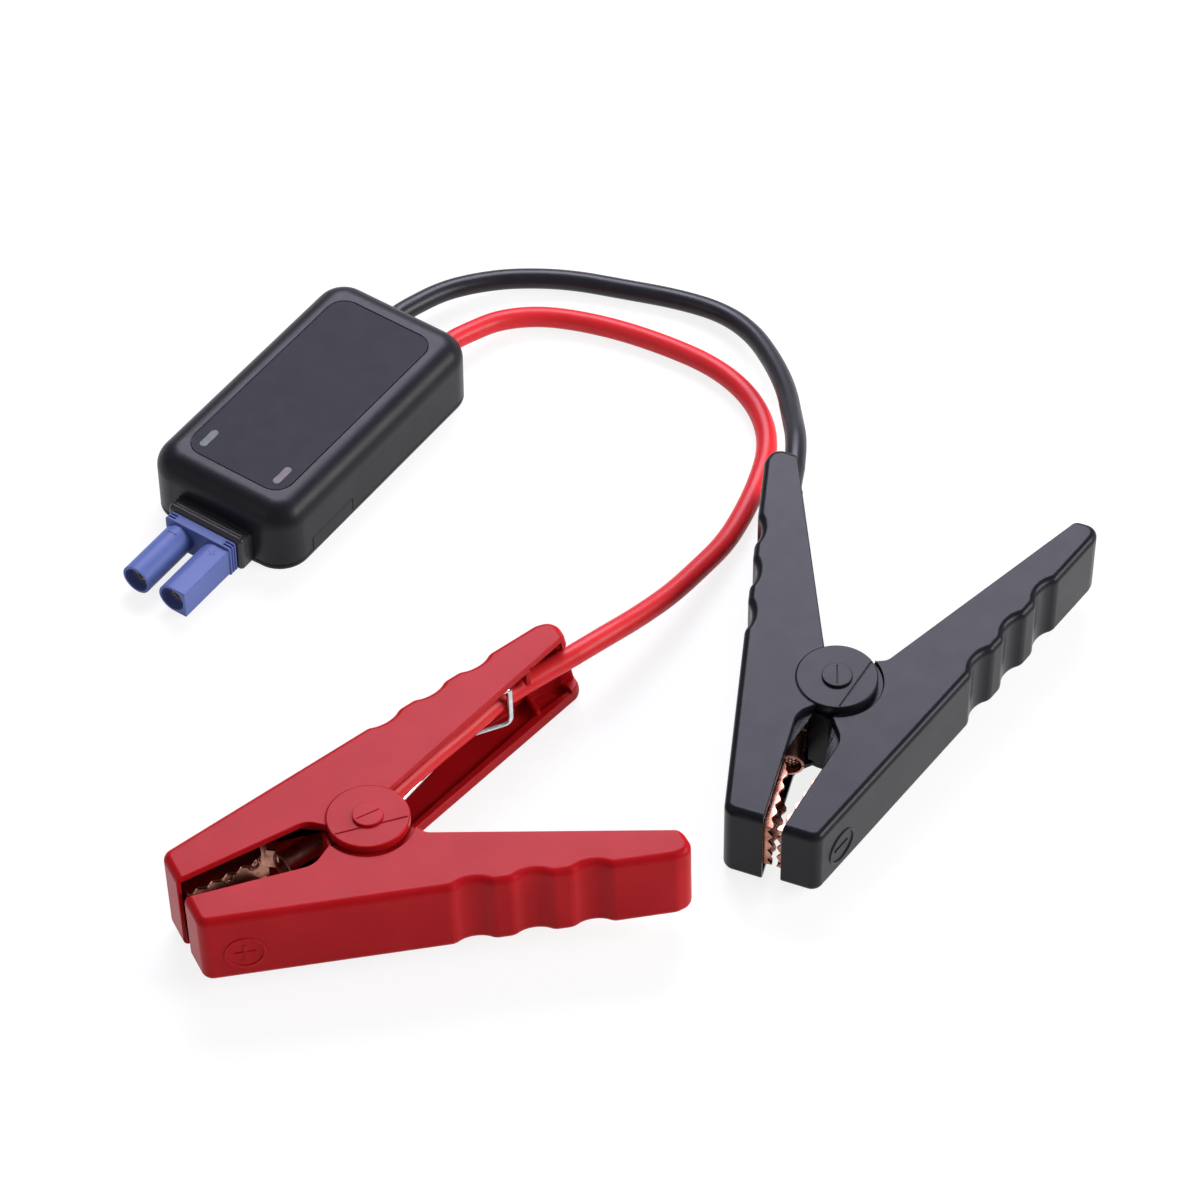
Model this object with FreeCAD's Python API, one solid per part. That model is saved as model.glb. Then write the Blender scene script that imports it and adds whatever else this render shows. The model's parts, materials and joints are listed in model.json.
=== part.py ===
import FreeCAD, Part
import math
import os
from FreeCAD import Placement, Rotation, Vector

# A protected jump-starter cable: a control case with a plug, two cables and two battery clamps.
# Millimetres. Origin under the middle of the case, +X from the plug towards the cables, +Z up.

# Case
case_length = 99.0
case_width = 54.0
case_height = 24.0
case_corner = 10.0
case_top_round = 7.4
case_foot_round = 0.8
case_wall = 2.0
seam_height = 1.8
seam_gap = 0.15
lip_height = 2.3
lip_thickness = 1.2
tab_from_end = 13.5
tab_length = 20.0
tab_top = 6.5

# Label panel, set into the lid, and the two light windows that pass through it
label_length = 79.8
label_width = 37.0
label_corner = 6.0
label_thickness = 0.5
label_gap = 0.15
window_from_label_end = 6.9
window_from_label_side = 4.5
window_length = 8.0
window_width = 2.6
window_depth = 3.5
light_stem_radius = 1.4

# Nose block and plug
nose_reach = 5.3
nose_half_width = 13.8
nose_bottom = 0.4
nose_top = 12.6
nose_round = 1.2
nose_rib_count = 4
nose_rib_pitch = 1.2
nose_rib_width = 0.5
nose_rib_height = 0.3
plug_axis_height = 6.2
plug_spacing = 13.8
prong_radius = 5.0
prong_reach = 30.5
plug_body_half_width = 11.0
plug_body_half_height = 4.2
plug_body_reach_in = 6.5
plug_fit = 0.15
flange_half_width = 12.35
flange_half_height = 5.8
flange_depth = 3.2
flange_start = 0.2
flange_slot_width = 0.5
flange_slot_pitch = 1.1
flange_slot_reach = 3.2
flange_round = 0.9
collar_half_width = 12.6
collar_rise = 5.2
collar_thickness = 2.2
contact_bore = 2.5
contact_outer = 3.4
contact_depth = 17.0
contact_recess = 3.2
contact_fit = 0.05
contact_tail_radius = 1.5
contact_tail_length = 4.0
mouth_radius = 4.1

# Circuit board and what stands on it
board_bottom = 3.0
board_thickness = 1.6
board_gap_plug = 7.5
board_gap_cable = 9.5
board_gap_side = 4.5
post_from_end = 11.0
post_from_side = 8.5
post_radius = 3.0
post_foot_radius = 4.2
post_fit = 0.2
relay_box = (20.0, 15.0, 14.0)
relay_inset = (30.0, 2.5)
capacitor_radius = 4.0
capacitor_height = 13.0
capacitor_inset = (20.0, 8.0)
chip_box = (8.0, 8.0, 1.2)
chip_inset = (52.0, 18.3)
transistor_box = (9.0, 8.0, 2.3)
transistor_from_board_end = 64.5
transistor_gap = 1.6
transistor_pitch = 12.0
transistor_count = 4
led_box = (3.2, 1.6, 1.4)
led_gap = 0.3
busbar_width = 5.0
busbar_thickness = 1.0
busbar_tab_height = 4.4

# Screws
screw_radius = 1.2
screw_fit = 0.05
screw_head_radius = 2.6
screw_head_height = 1.2
screw_head_recess = 0.3
screw_length = 12.5

# Cables
cable_radius = 3.3
conductor_radius = 2.2
cable_fit = 0.1
cable_exit_height = 8.0
black_exit_y = 9.0
red_exit_y = -12.0
cable_hole_fit = 0.2
terminal_from_end = 15.5
terminal_length = 8.0
terminal_half_width = 4.0
terminal_top = 12.0
saddle_from_end = 3.7
saddle_length = 4.5
saddle_half_width = 16.5
saddle_cap_top = 12.6
saddle_screw_spread = 2.6

# Clamp: the two handles share these
nose_x = -57.5
nose_wall = 1.2
end_wall = 2.4
back_thickness = 3.3
hollow_bend = 2.0
rim_round = 1.6
nose_corner = 3.5
end_shoulder = 8.0
end_shoulder_round = 6.0
end_face = 5.0
end_corner = 4.0
groove_start = 16.5
groove_pitch = 15.6
groove_count = 3
groove_depth = 1.5
groove_round = 14.0
pin_radius = 2.9
pin_fit = 0.05
pin_head_radius = 4.5
pin_head_height = 1.2
hub_radius = 12.0
hub_rise = 0.5
ear_radius = 11.5
ear_gap = 0.4
ear_thickness = 2.4
hub_clearance = 1.6
badge_x = -46.0
badge_z = -2.0
badge_radius = 6.0
badge_line = 0.8
badge_rise = 0.3
badge_sign_length = 6.4

# The cable's handle lies on +Y of the pivot and the free handle on -Y. Both are drawn on +Y here.
cable_side = {
    "back_angle": 14.5,
    "back_offset": 27.6,
    "belly_angle": 25.7,
    "belly_offset": 2.6,
    "half_height": 14.0,
    "plate": 2.2,
    "mouth_edge": 1.8,
    "end_x": 82.0,
    "tooth_edge": -0.8,
    "tooth_angle": 8.0,
    "hub_corners": [(6.0, 5.6, 0.0), (-11.0, 1.6, 0.0), (-16.6, 6.3, 3.0)],
}
free_side = {
    "back_angle": 14.7,
    "back_offset": 29.05,
    "belly_angle": 25.7,
    "belly_offset": 4.5,
    "half_height": 12.4,
    "plate": 2.2,
    "mouth_edge": 3.8,
    "end_x": 80.5,
    "tooth_edge": 1.2,
    "tooth_angle": 9.2,
    "hub_corners": [(19.5, 14.4, 6.0), (12.0, 7.4, 0.0), (-8.0, 2.5, 0.0), (-13.8, 3.8, 1.0),
                    (-20.5, 8.7, 5.0)],
}

# Jaws
jaw_start = 2.6
jaw_end = 31.5
jaw_depth = 7.0
jaw_sheet = 1.0
jaw_half_height = 8.5
flange_end = 25.0
flange_slope = 4.0
tooth_pitch = 4.8
tooth_depth = 1.4
tooth_flat = 0.6
front_tooth_count = 4
seat_thickness = 2.0
seat_start = 2.2
seat_end = 30.0
rivet_places = (18.5, 27.0)
rivet_radius = 1.2
rivet_head_radius = 2.1
rivet_head_height = 0.8
barrel_start = 33.5
barrel_end = 46.0
barrel_radius = 4.2
tongue_start = 22.0
tongue_thickness = 1.2
tongue_half_width = 3.5
tongue_window_gap = 0.3

# Cable inside the handle
held_cable_height = 2.4
held_cable_straight_from = 57.0
held_cable_bends = [(36.0, 29.4, 0.4), (14.0, 18.2, 0.0)]
held_cable_bend_in_jaw = 54.5
held_cable_end_in_jaw = 37.0
held_cable_stub = 1.0
rib_x = 65.0
rib_thickness = 1.6
rib_gap = 0.3

# Spring
wire = 1.9
coil_radius = 6.0
coil_pitch = 3.05
coil_top = 7.7
coil_full_turns = 2
leg_tip_x = 36.0
leg_gap = 0.3
arm_bend = (46.0, 31.4)
arm_bend_radius = 15.0
bridge_x = 57.5
bridge_gap = 0.2
bridge_half_height = 6.6
bridge_bend_radius = 2.5

# Where the clamps lie: pivot's place on the floor plan, turn, and lean about the clamp's own X and Y
red_clamp = {"x": -131.7, "y": -119.9, "yaw": -30.35, "roll": -3.4, "pitch": 0.0}
black_clamp = {"x": -10.9, "y": -199.4, "yaw": 13.0, "roll": 0.0, "pitch": -1.4}

# Free cables: points between the case and the clamp, x, y, height
red_route = [
    (55.8, -12.0, 8.0), (64.8, -14.3, 6.8), (75.0, -17.6, 5.4), (84.4, -25.8, 4.2), (90.4, -37.0, 3.7),
    (95.0, -52.0, 3.5), (97.4, -68.4, 3.5), (98.0, -84.0, 3.5), (94.6, -98.6, 3.5),
    (87.0, -110.8, 3.6), (76.4, -119.4, 3.8), (62.6, -124.6, 3.8), (48.4, -128.4, 4.2),
    (34.0, -131.2, 5.6), (19.0, -131.6, 7.8), (3.6, -130.2, 10.4), (-12.0, -127.8, 13.0),
]
black_route = [
    (55.4, 9.0, 8.0), (64.4, 7.0, 7.5), (75.0, 4.0, 6.6), (85.2, -2.0, 5.5), (94.8, -10.6, 4.6),
    (104.6, -24.6, 3.8), (111.0, -41.4, 3.5), (117.0, -58.0, 3.5), (119.6, -73.4, 4.0),
    (116.2, -87.0, 5.4), (107.4, -100.2, 8.0), (95.6, -113.4, 11.6), (82.6, -123.8, 15.6),
]
exit_lead = 11.0
arc_share = 0.45

# Places that follow from the sizes above
tab_start = tab_from_end - case_length / 2
window_x = window_from_label_end - label_length / 2
window_y = label_width / 2 - window_from_label_side
plug_body_inner_end = plug_body_reach_in - case_length / 2
contact_tail_end = plug_body_inner_end + contact_tail_length
board_start = board_gap_plug - case_length / 2
board_end = case_length / 2 - board_gap_cable
board_half_width = case_width / 2 - board_gap_side
relay_place = (board_start + relay_inset[0], relay_inset[1] - board_half_width)
capacitor_place = (board_start + capacitor_inset[0], capacitor_inset[1] - board_half_width)
chip_place = (board_start + chip_inset[0], chip_inset[1] - board_half_width)
transistor_place = (board_end - transistor_from_board_end,
                    plug_spacing / 2 + busbar_width / 2 + transistor_gap)
post_x = case_length / 2 - post_from_end
post_y = case_width / 2 - post_from_side
terminal_end = case_length / 2 - terminal_from_end
terminal_start = terminal_end - terminal_length
saddle_end = case_length / 2 - saddle_from_end
saddle_start = saddle_end - saddle_length
board_top = board_bottom + board_thickness
ear_top = cable_side["half_height"] - cable_side["plate"] - ear_gap
hub_top = cable_side["half_height"] + hub_rise
cable_offset = cable_side["back_offset"] - back_thickness - cable_radius - cable_fit


# Plain solids

def box(x0, y0, z0, x1, y1, z1):
    return Part.makeBox(x1 - x0, y1 - y0, z1 - z0, Vector(x0, y0, z0))


def rod(radius, start, end):
    line = Vector(*end) - Vector(*start)
    return Part.makeCylinder(radius, line.Length, Vector(*start), line)


def slab(edges, z0, z1):
    face = Part.Face(Part.Wire(edges))
    face.translate(Vector(0, 0, z0))
    return face.extrude(Vector(0, 0, z1 - z0))


def corner_arc(start, corner, end):
    middle = (start + end) * 0.5
    rise = corner - middle
    half_chord = (start - middle).Length
    sagitta = half_chord * math.tan(math.atan2(rise.Length, half_chord) / 2)
    return Part.Arc(start, middle + rise * (sagitta / rise.Length), end).toShape()


def traced(points, reaches, closed):
    """Edges through the points, each corner rounded by an arc that starts its reach before it."""
    edges = []
    count = len(points)
    legs = range(count if closed else count - 1)
    for i in legs:
        start, end = points[i], points[(i + 1) % count]
        along = (end - start).normalize()
        near = start + along * reaches[i]
        far = end - along * reaches[(i + 1) % count]
        if (far - near).dot(along) > 1e-4:
            edges.append(Part.makeLine(near, far))
        if reaches[(i + 1) % count] > 0:
            after = points[(i + 2) % count]
            leave = end + (after - end).normalize() * reaches[(i + 1) % count]
            edges.append(corner_arc(far, end, leave))
    return edges


def half_turn(before, corner, after):
    return (corner - before).getAngle(after - corner) / 2


def outline(corners):
    """A closed plan outline from (x, y, corner radius) triples."""
    points = [Vector(x, y, 0) for x, y, radius in corners]
    reaches = []
    for i, (x, y, radius) in enumerate(corners):
        turn = half_turn(points[i - 1], points[i], points[(i + 1) % len(points)])
        reaches.append(radius * math.tan(turn))
    return traced(points, reaches, True)


def rounded_rectangle(half_length, half_width, radius, x=0.0, y=0.0):
    return outline([(x - half_length, y - half_width, radius), (x + half_length, y - half_width, radius),
                    (x + half_length, y + half_width, radius), (x - half_length, y + half_width, radius)])


def round_edges(shape, radius, wanted):
    return shape.makeFillet(radius, [edge for edge in shape.Edges if wanted(edge)])


def at_height(z):
    return lambda edge: abs(edge.BoundBox.ZMin - z) < 1e-3 and abs(edge.BoundBox.ZMax - z) < 1e-3


def save(name, shape):
    shape.exportStep("parts/" + name + ".step")


def joined(shapes):
    return shapes[0].fuse(shapes[1:]).removeSplitter()


# Round tubes along bent paths

def tube(points, reaches, radius):
    path = Part.Wire(traced(points, reaches, False))
    ring = Part.makeCircle(radius, points[0], points[1] - points[0])
    return path, path.makePipeShell([Part.Wire(ring)], True, False)


def even_reaches(points):
    reaches = [0.0]
    for before, corner, after in zip(points, points[1:], points[2:]):
        reaches.append(arc_share * min((corner - before).Length, (after - corner).Length))
    return reaches + [0.0]


def report_tube(name, points, reaches, path, solid, radius):
    radii = []
    for i in range(1, len(points) - 1):
        turn = half_turn(points[i - 1], points[i], points[i + 1])
        radii.append(reaches[i] / math.tan(turn))
    volume = math.pi * radius ** 2 * path.Length
    print(name, "length %.1f" % path.Length, "volume ratio %.4f" % (solid.Volume / volume),
          "least radius %.1f" % min(radii), "radii", [round(r) for r in radii])


def cable_tube(name, points):
    reaches = even_reaches(points)
    path, solid = tube(points, reaches, cable_radius)
    report_tube(name, points, reaches, path, solid, cable_radius)
    return solid


# Control case

def case_block(inset, z0, z1, top_round):
    plan = rounded_rectangle(case_length / 2 - inset, case_width / 2 - inset, case_corner - inset)
    block = slab(plan, z0, z1)
    if top_round:
        block = round_edges(block, top_round, at_height(z1))
    return block


def case_outer():
    return round_edges(case_block(0, 0, case_height, case_top_round), case_foot_round, at_height(0))


def nose_block():
    start = -case_length / 2 - nose_reach
    back = -case_length / 2 + case_wall / 2
    block = box(start, -nose_half_width, nose_bottom, back, nose_half_width, nose_top)
    return round_edges(block, nose_round, lambda edge: edge.BoundBox.XMin < start + nose_round
                       or edge.BoundBox.XLength > nose_reach)


def nose_ribs():
    ribs = []
    for i in range(nose_rib_count):
        x = -case_length / 2 - nose_reach + nose_round + i * nose_rib_pitch - nose_rib_width
        ribs.append(box(x, nose_round - nose_half_width, nose_top - nose_rib_height, x + nose_rib_width,
                        nose_half_width - nose_round, nose_top + nose_rib_height))
    return ribs


def below(height):
    return box(-case_length, -case_width, -1, case_length, case_width, height)


def above(height):
    return box(-case_length, -case_width, height, case_length, case_width, 2 * case_height)


def tab_zone(grow):
    """Two bars, each over one long wall, where the lower shell rises above the seam."""
    bars = []
    for side in (-1, 1):
        wall_y = side * (case_width / 2 - case_wall / 2)
        bars.append(box(tab_start - grow, wall_y - case_wall, seam_height - 1, tab_start + tab_length + grow,
                        wall_y + case_wall, tab_top + grow))
    return Part.makeCompound(bars)


def post_centres():
    return [(x, y) for x in (-post_x, post_x) for y in (-post_y, post_y)]


def plug_opening():
    top = plug_axis_height + plug_body_half_height + plug_fit
    half = plug_body_half_width + plug_fit
    return box(-case_length, -half, seam_height, -case_length / 2 + case_wall + 1, half, top)


def cable_holes(radius):
    return [rod(radius, (saddle_start - 5, y, cable_exit_height), (case_length, y, cable_exit_height))
            for y in (black_exit_y, red_exit_y)]


def window_outline(grow):
    half_width = window_width / 2 + grow
    return rounded_rectangle(window_length / 2 + grow, half_width, half_width - 0.01, window_x, 0)


def window_pill(side, grow, z0, z1):
    pill = slab(window_outline(grow), z0, z1)
    pill.translate(Vector(0, side * window_y, 0))
    return pill


def label_bed():
    return case_height - label_thickness


def upper_shell():
    shell = case_outer().fuse([nose_block()] + nose_ribs())
    shell = shell.cut(case_block(case_wall, -1, case_height - case_wall, case_top_round - case_wall))
    bore_top = screw_head_recess + screw_head_height + screw_length
    posts = [rod(post_radius, (x, y, board_bottom), (x, y, case_height - case_wall / 2))
             for x, y in post_centres()]
    bores = [rod(screw_radius, (x, y, 0), (x, y, bore_top)) for x, y in post_centres()]
    bed = slab(rounded_rectangle(label_length / 2 + label_gap, label_width / 2 + label_gap, label_corner),
               label_bed(), case_height + 1)
    windows = [window_pill(side, screw_fit, 0, case_height + 1) for side in (-1, 1)]
    inside = case_block(case_wall / 2, 0, case_height - case_wall / 2, case_top_round - case_wall / 2)
    shell = shell.cut([below(seam_height + seam_gap), tab_zone(seam_gap), plug_opening()])
    shell = shell.fuse([post.common(inside) for post in posts])
    return shell.cut([bed] + bores + windows + cable_holes(cable_radius + cable_hole_fit)).removeSplitter()


def lower_shell():
    plate = case_outer().fuse(nose_block()).common(below(seam_height))
    inset = case_wall + seam_gap
    floor_plate = case_block(inset, seam_height / 2, case_wall, 0)
    lip = case_block(inset, case_wall / 2, case_wall + lip_height, 0)
    lip = lip.cut(case_block(inset + lip_thickness, 0, case_height, 0))
    lip = lip.cut([box(-case_length, -nose_half_width, case_wall, 0, nose_half_width, case_height)]
                  + cable_holes(cable_radius + cable_fit))
    tabs = case_outer().cut(case_block(case_wall, -1, case_height, 0)).common(tab_zone(0))
    links = []
    for side in (-1, 1):
        wall_y = side * (case_width / 2 - case_wall / 2)
        link = box(tab_start, wall_y - case_wall / 2 - 0.4, case_wall, tab_start + tab_length,
                   wall_y + case_wall / 2 + 0.4, case_wall + lip_height)
        links.append(link.common(case_outer()))
    feet = [rod(post_foot_radius, (x, y, case_wall / 2), (x, y, board_bottom)) for x, y in post_centres()]
    saddle = box(saddle_start, -saddle_half_width, case_wall / 2,
                 saddle_end, saddle_half_width, cable_exit_height)
    shell = joined([plate, floor_plate, lip, tabs, saddle] + links + feet)
    holes = [rod(screw_radius + plug_fit, (x, y, -1), (x, y, board_bottom + 1)) for x, y in post_centres()]
    seats = [rod(screw_head_radius + plug_fit, (x, y, -1), (x, y, screw_head_recess + screw_head_height))
             for x, y in post_centres()]
    bores = [rod(screw_radius, (x, y, case_wall + 0.5), (x, y, case_height))
             for x, y in saddle_screw_centres()]
    return shell.cut(holes + seats + bores + cable_holes(cable_radius + cable_fit)).removeSplitter()


def label_panel():
    panel = slab(rounded_rectangle(label_length / 2, label_width / 2, label_corner - label_gap),
                 label_bed(), case_height - 0.05)
    return panel.cut([window_pill(side, screw_fit, 0, case_height + 1) for side in (-1, 1)])


def light_window(side):
    top = case_height - 0.02
    led_top = board_top + led_box[2]
    pill = window_pill(side, 0, top - window_depth, top)
    stem = rod(light_stem_radius, (window_x, side * window_y, led_top + led_gap),
               (window_x, side * window_y, top - window_depth + 0.5))
    stem = stem.common(box(window_x - 5, side * window_y - window_width / 2, 0, window_x + 5,
                           side * window_y + window_width / 2, case_height))
    return joined([pill, stem])


# Plug

def prong(side):
    start = -case_length / 2 - prong_reach
    end = -case_length / 2 - nose_reach
    y = side * plug_spacing / 2
    body = rod(prong_radius, (start, y, plug_axis_height), (end, y, plug_axis_height))
    if side < 0:
        flat = box(start, y - prong_radius, plug_axis_height - prong_radius,
                   end, y, plug_axis_height + prong_radius)
        body = joined([body, flat])
    return body


def flange():
    """A block whose two ends are slotted into three fins."""
    face = -case_length / 2 - nose_reach - flange_start
    block = box(face - flange_depth, -flange_half_width, plug_axis_height - flange_half_height,
                face, flange_half_width, plug_axis_height + flange_half_height)
    block = round_edges(block, flange_round, lambda edge: edge.BoundBox.XLength > flange_depth / 2)
    middle = face - flange_depth / 2
    slots = []
    for offset in (-flange_slot_pitch / 2, flange_slot_pitch / 2):
        for side in (-1, 1):
            x = middle + offset
            inner = side * (flange_half_width - flange_slot_reach)
            outer = side * (flange_half_width + 1)
            slots.append(box(x - flange_slot_width / 2, min(inner, outer), -1,
                             x + flange_slot_width / 2, max(inner, outer), case_height))
    return block.cut(slots)


def plug_housing():
    inner_face = -case_length / 2 + case_wall
    body = box(-case_length / 2 - nose_reach - flange_start - flange_depth, -plug_body_half_width,
               plug_axis_height - plug_body_half_height, plug_body_inner_end,
               plug_body_half_width, plug_axis_height + plug_body_half_height)
    collar = box(inner_face + plug_fit, -collar_half_width, case_wall + plug_fit,
                 inner_face + plug_fit + collar_thickness, collar_half_width, plug_axis_height + collar_rise)
    housing = joined([body, collar, prong(-1), prong(1), flange()])
    start = -case_length / 2 - prong_reach
    cuts = []
    for side in (-1, 1):
        y = side * plug_spacing / 2
        cuts.append(rod(contact_outer + contact_fit, (start - 1, y, plug_axis_height),
                        (0, y, plug_axis_height)))
        cuts.append(rod(mouth_radius, (start - 1, y, plug_axis_height),
                        (start + contact_recess, y, plug_axis_height)))
    return housing.cut(cuts).removeSplitter()


def plug_contact(side):
    y = side * plug_spacing / 2
    start = -case_length / 2 - prong_reach + contact_recess
    shank = rod(contact_outer, (start, y, plug_axis_height), (plug_body_inner_end, y, plug_axis_height))
    tail = rod(contact_tail_radius, (plug_body_inner_end - 1, y, plug_axis_height),
               (contact_tail_end, y, plug_axis_height))
    bore = rod(contact_bore, (start - 1, y, plug_axis_height), (start + contact_depth, y, plug_axis_height))
    return joined([shank, tail]).cut(bore)


# Electronics

def on_board(size, place):
    return box(place[0], place[1], board_top, place[0] + size[0], place[1] + size[1], board_top + size[2])


def circuit_board():
    board = box(board_start, -board_half_width, board_bottom, board_end, board_half_width, board_top)
    board = round_edges(board, 2.0, lambda edge: edge.BoundBox.ZLength > board_thickness / 2)
    holes = [rod(post_radius + post_fit, (x, y, 0), (x, y, case_height)) for x, y in post_centres()]
    return board.cut(holes)


def power_relay():
    return round_edges(on_board(relay_box, relay_place), 0.8, lambda edge: edge.BoundBox.ZMax > board_top + 1)


def power_transistors():
    x, y = transistor_place
    return Part.makeCompound([on_board(transistor_box, (x + i * transistor_pitch, y))
                              for i in range(transistor_count)])


def capacitor():
    x, y = capacitor_place
    can = rod(capacitor_radius, (x, y, board_top), (x, y, board_top + capacitor_height))
    return round_edges(can, 0.6, at_height(board_top + capacitor_height))


def led(side):
    return on_board(led_box, (window_x - led_box[0] / 2, side * window_y - led_box[1] / 2))


def strip(x0, x1, y):
    return box(x0, y - busbar_width / 2, board_top, x1, y + busbar_width / 2, board_top + busbar_thickness)


def plug_busbar(side, end):
    y = side * plug_spacing / 2
    tab = box(contact_tail_end, y - busbar_width / 2, board_top, contact_tail_end + busbar_thickness,
              y + busbar_width / 2, board_top + busbar_tab_height)
    return joined([strip(contact_tail_end, end, y), tab])


def output_busbar():
    return strip(relay_place[0] + relay_box[0], terminal_start, red_exit_y)


def conductor(y):
    return rod(conductor_radius, (terminal_start + 1, y, cable_exit_height),
               (terminal_end + 1, y, cable_exit_height))


def cable_terminals():
    blocks = []
    for y in (black_exit_y, red_exit_y):
        block = box(terminal_start, y - terminal_half_width, board_top,
                    terminal_end, y + terminal_half_width, terminal_top)
        blocks.append(block.cut(conductor(y)))
    return Part.makeCompound(blocks)


def inner_cable(y):
    jacket = rod(cable_radius, (terminal_end, y, cable_exit_height), (case_length / 2, y, cable_exit_height))
    return joined([jacket, conductor(y)])


def saddle_screw_centres():
    x = (saddle_start + saddle_end) / 2
    middle = (black_exit_y + red_exit_y) / 2
    return [(x, middle - saddle_screw_spread), (x, middle + saddle_screw_spread)]


def cable_clamp():
    cap = box(saddle_start, -saddle_half_width, cable_exit_height,
              saddle_end, saddle_half_width, saddle_cap_top)
    cap = round_edges(cap, 0.8, lambda edge: edge.BoundBox.ZMin > cable_exit_height + 1)
    bores = [rod(screw_radius + screw_fit, (x, y, 0), (x, y, case_height)) for x, y in saddle_screw_centres()]
    return cap.cut(bores + cable_holes(cable_radius + cable_fit))


def screw(x, y, head_z, tip_z):
    down = 1 if tip_z < head_z else -1
    head = rod(screw_head_radius, (x, y, head_z), (x, y, head_z + down * screw_head_height))
    return joined([head, rod(screw_radius, (x, y, head_z), (x, y, tip_z))])


def case_screws():
    seat = screw_head_recess + screw_head_height
    return Part.makeCompound([screw(x, y, seat, seat + screw_length - 0.5) for x, y in post_centres()])


def clamp_screws():
    return Part.makeCompound([screw(x, y, saddle_cap_top, case_wall + 1) for x, y in saddle_screw_centres()])


# Clamp handles, drawn with the handle on +Y

def back_point(side, x, inset):
    angle = math.radians(side["back_angle"])
    return (side["back_offset"] - inset) / math.cos(angle) + math.tan(angle) * x


def belly_point(side, x):
    angle = math.radians(side["belly_angle"])
    return side["belly_offset"] / math.cos(angle) + math.tan(angle) * x


def groove_corners(side):
    corners = []
    angle = math.radians(side["back_angle"])
    for i in range(2 * groove_count + 1):
        x = groove_start + (i - 1) * groove_pitch / 2
        depth = groove_depth if i % 2 else 0.0
        y = back_point(side, x, 0) - depth * math.cos(angle)
        corners.append((x + depth * math.sin(angle), y, groove_round))
    return corners


def handle_outline(side):
    corners = [(nose_x, side["mouth_edge"], 0), (nose_x, back_point(side, nose_x, 0), nose_corner)]
    corners += groove_corners(side)
    end = side["end_x"]
    corners.append((end - end_shoulder, back_point(side, end - end_shoulder, 0), end_shoulder_round))
    corners.append((end, belly_point(side, end) + end_face, end_corner))
    corners.append((end, belly_point(side, end), 0))
    corners += side["hub_corners"]
    return outline(corners)


def outer_rim(side):
    """Picks the top and bottom edges of the back, the nose and the end of a handle."""
    top = side["half_height"]

    def wanted(edge):
        middle = edge.CenterOfMass
        if abs(abs(middle.z) - top) > 1e-3:
            return False
        near_back = middle.y > back_point(side, middle.x, 2 * back_thickness)
        return near_back or middle.x < nose_x + 0.1 or middle.x > side["end_x"] - end_corner
    return wanted


def hollow(side):
    inner = side["half_height"] - side["plate"]
    x0 = nose_x + nose_wall
    x1 = side["end_x"] - end_wall
    bend = side["end_x"] - end_shoulder - hollow_bend
    low = -2 * hub_radius
    corners = [(x0, low, 0), (x0, back_point(side, x0, back_thickness), 1.5),
               (bend, back_point(side, bend, back_thickness), end_shoulder_round),
               (x1, back_point(side, bend, back_thickness), 3.0), (x1, low, 0)]
    return slab(outline(corners), -inner, inner)


def channel(side):
    top = side["half_height"]
    body = slab(handle_outline(side), -top, top)
    body = round_edges(body, rim_round, outer_rim(side))
    return body.cut(hollow(side))


def both_levels(radius, z0, z1):
    return [rod(radius, (0, 0, sign * z0), (0, 0, sign * z1)) for sign in (-1, 1)]


def pin_bore():
    return rod(pin_radius + pin_fit, (0, 0, -2 * hub_top), (0, 0, 2 * hub_top))


# A jaw's own frame: X along its tooth line from the nose, Y into the handle

def jaw_frame(side):
    return Placement(Vector(nose_x, side["tooth_edge"], 0), Rotation(Vector(0, 0, 1), side["tooth_angle"]))


def in_jaw_frame(side, shape):
    moved = shape.copy()
    moved.Placement = jaw_frame(side).multiply(moved.Placement)
    return moved


def jaw_back():
    return jaw_depth + jaw_sheet


def tongue_back():
    return jaw_back() + tongue_thickness


def jaw():
    tray = box(jaw_start, 0, -jaw_half_height, jaw_end, jaw_back(), jaw_half_height)
    tray = round_edges(tray, 1.0, lambda edge: edge.BoundBox.YMin > jaw_depth and edge.BoundBox.XLength > 1)
    inner = jaw_half_height - jaw_sheet
    tray = tray.cut(box(jaw_start + jaw_sheet, -1, -inner, jaw_end + 1, jaw_depth, inner))
    slant = outline([(flange_end, -1, 0), (jaw_end + 1, -1, 0), (jaw_end + 1, jaw_depth, 0),
                     (flange_end + flange_slope, jaw_depth, 0)])
    cutters = [slab(slant, -jaw_half_height - 1, jaw_half_height + 1)]
    half = (tooth_pitch - tooth_flat) / 2
    count = int((jaw_end - jaw_start) / tooth_pitch)
    for i in range(count + 1):
        x = jaw_start + jaw_sheet + (i + 0.5) * tooth_pitch
        notch = slab(outline([(x - half, -0.01, 0), (x + half, -0.01, 0), (x, tooth_depth, 0.5)]),
                     -jaw_half_height - 1, jaw_half_height + 1)
        cutters.append(notch)
    front_pitch = 2 * jaw_half_height / front_tooth_count
    for i in range(front_tooth_count):
        z = -jaw_half_height + (i + 0.5) * front_pitch
        notch = slab(outline([(z - front_pitch / 2 + tooth_flat / 2, -0.01, 0),
                              (z + front_pitch / 2 - tooth_flat / 2, -0.01, 0), (z, tooth_depth, 0.4)]),
                     jaw_start - 1, jaw_start + jaw_sheet)
        notch.rotate(Vector(0, 0, 0), Vector(0, 1, 0), 90)
        cutters.append(notch)
    holes = [rod(rivet_radius, (x, 0, 0), (x, 2 * jaw_depth, 0)) for x in rivet_places]
    return tray.cut(cutters + holes)


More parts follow.
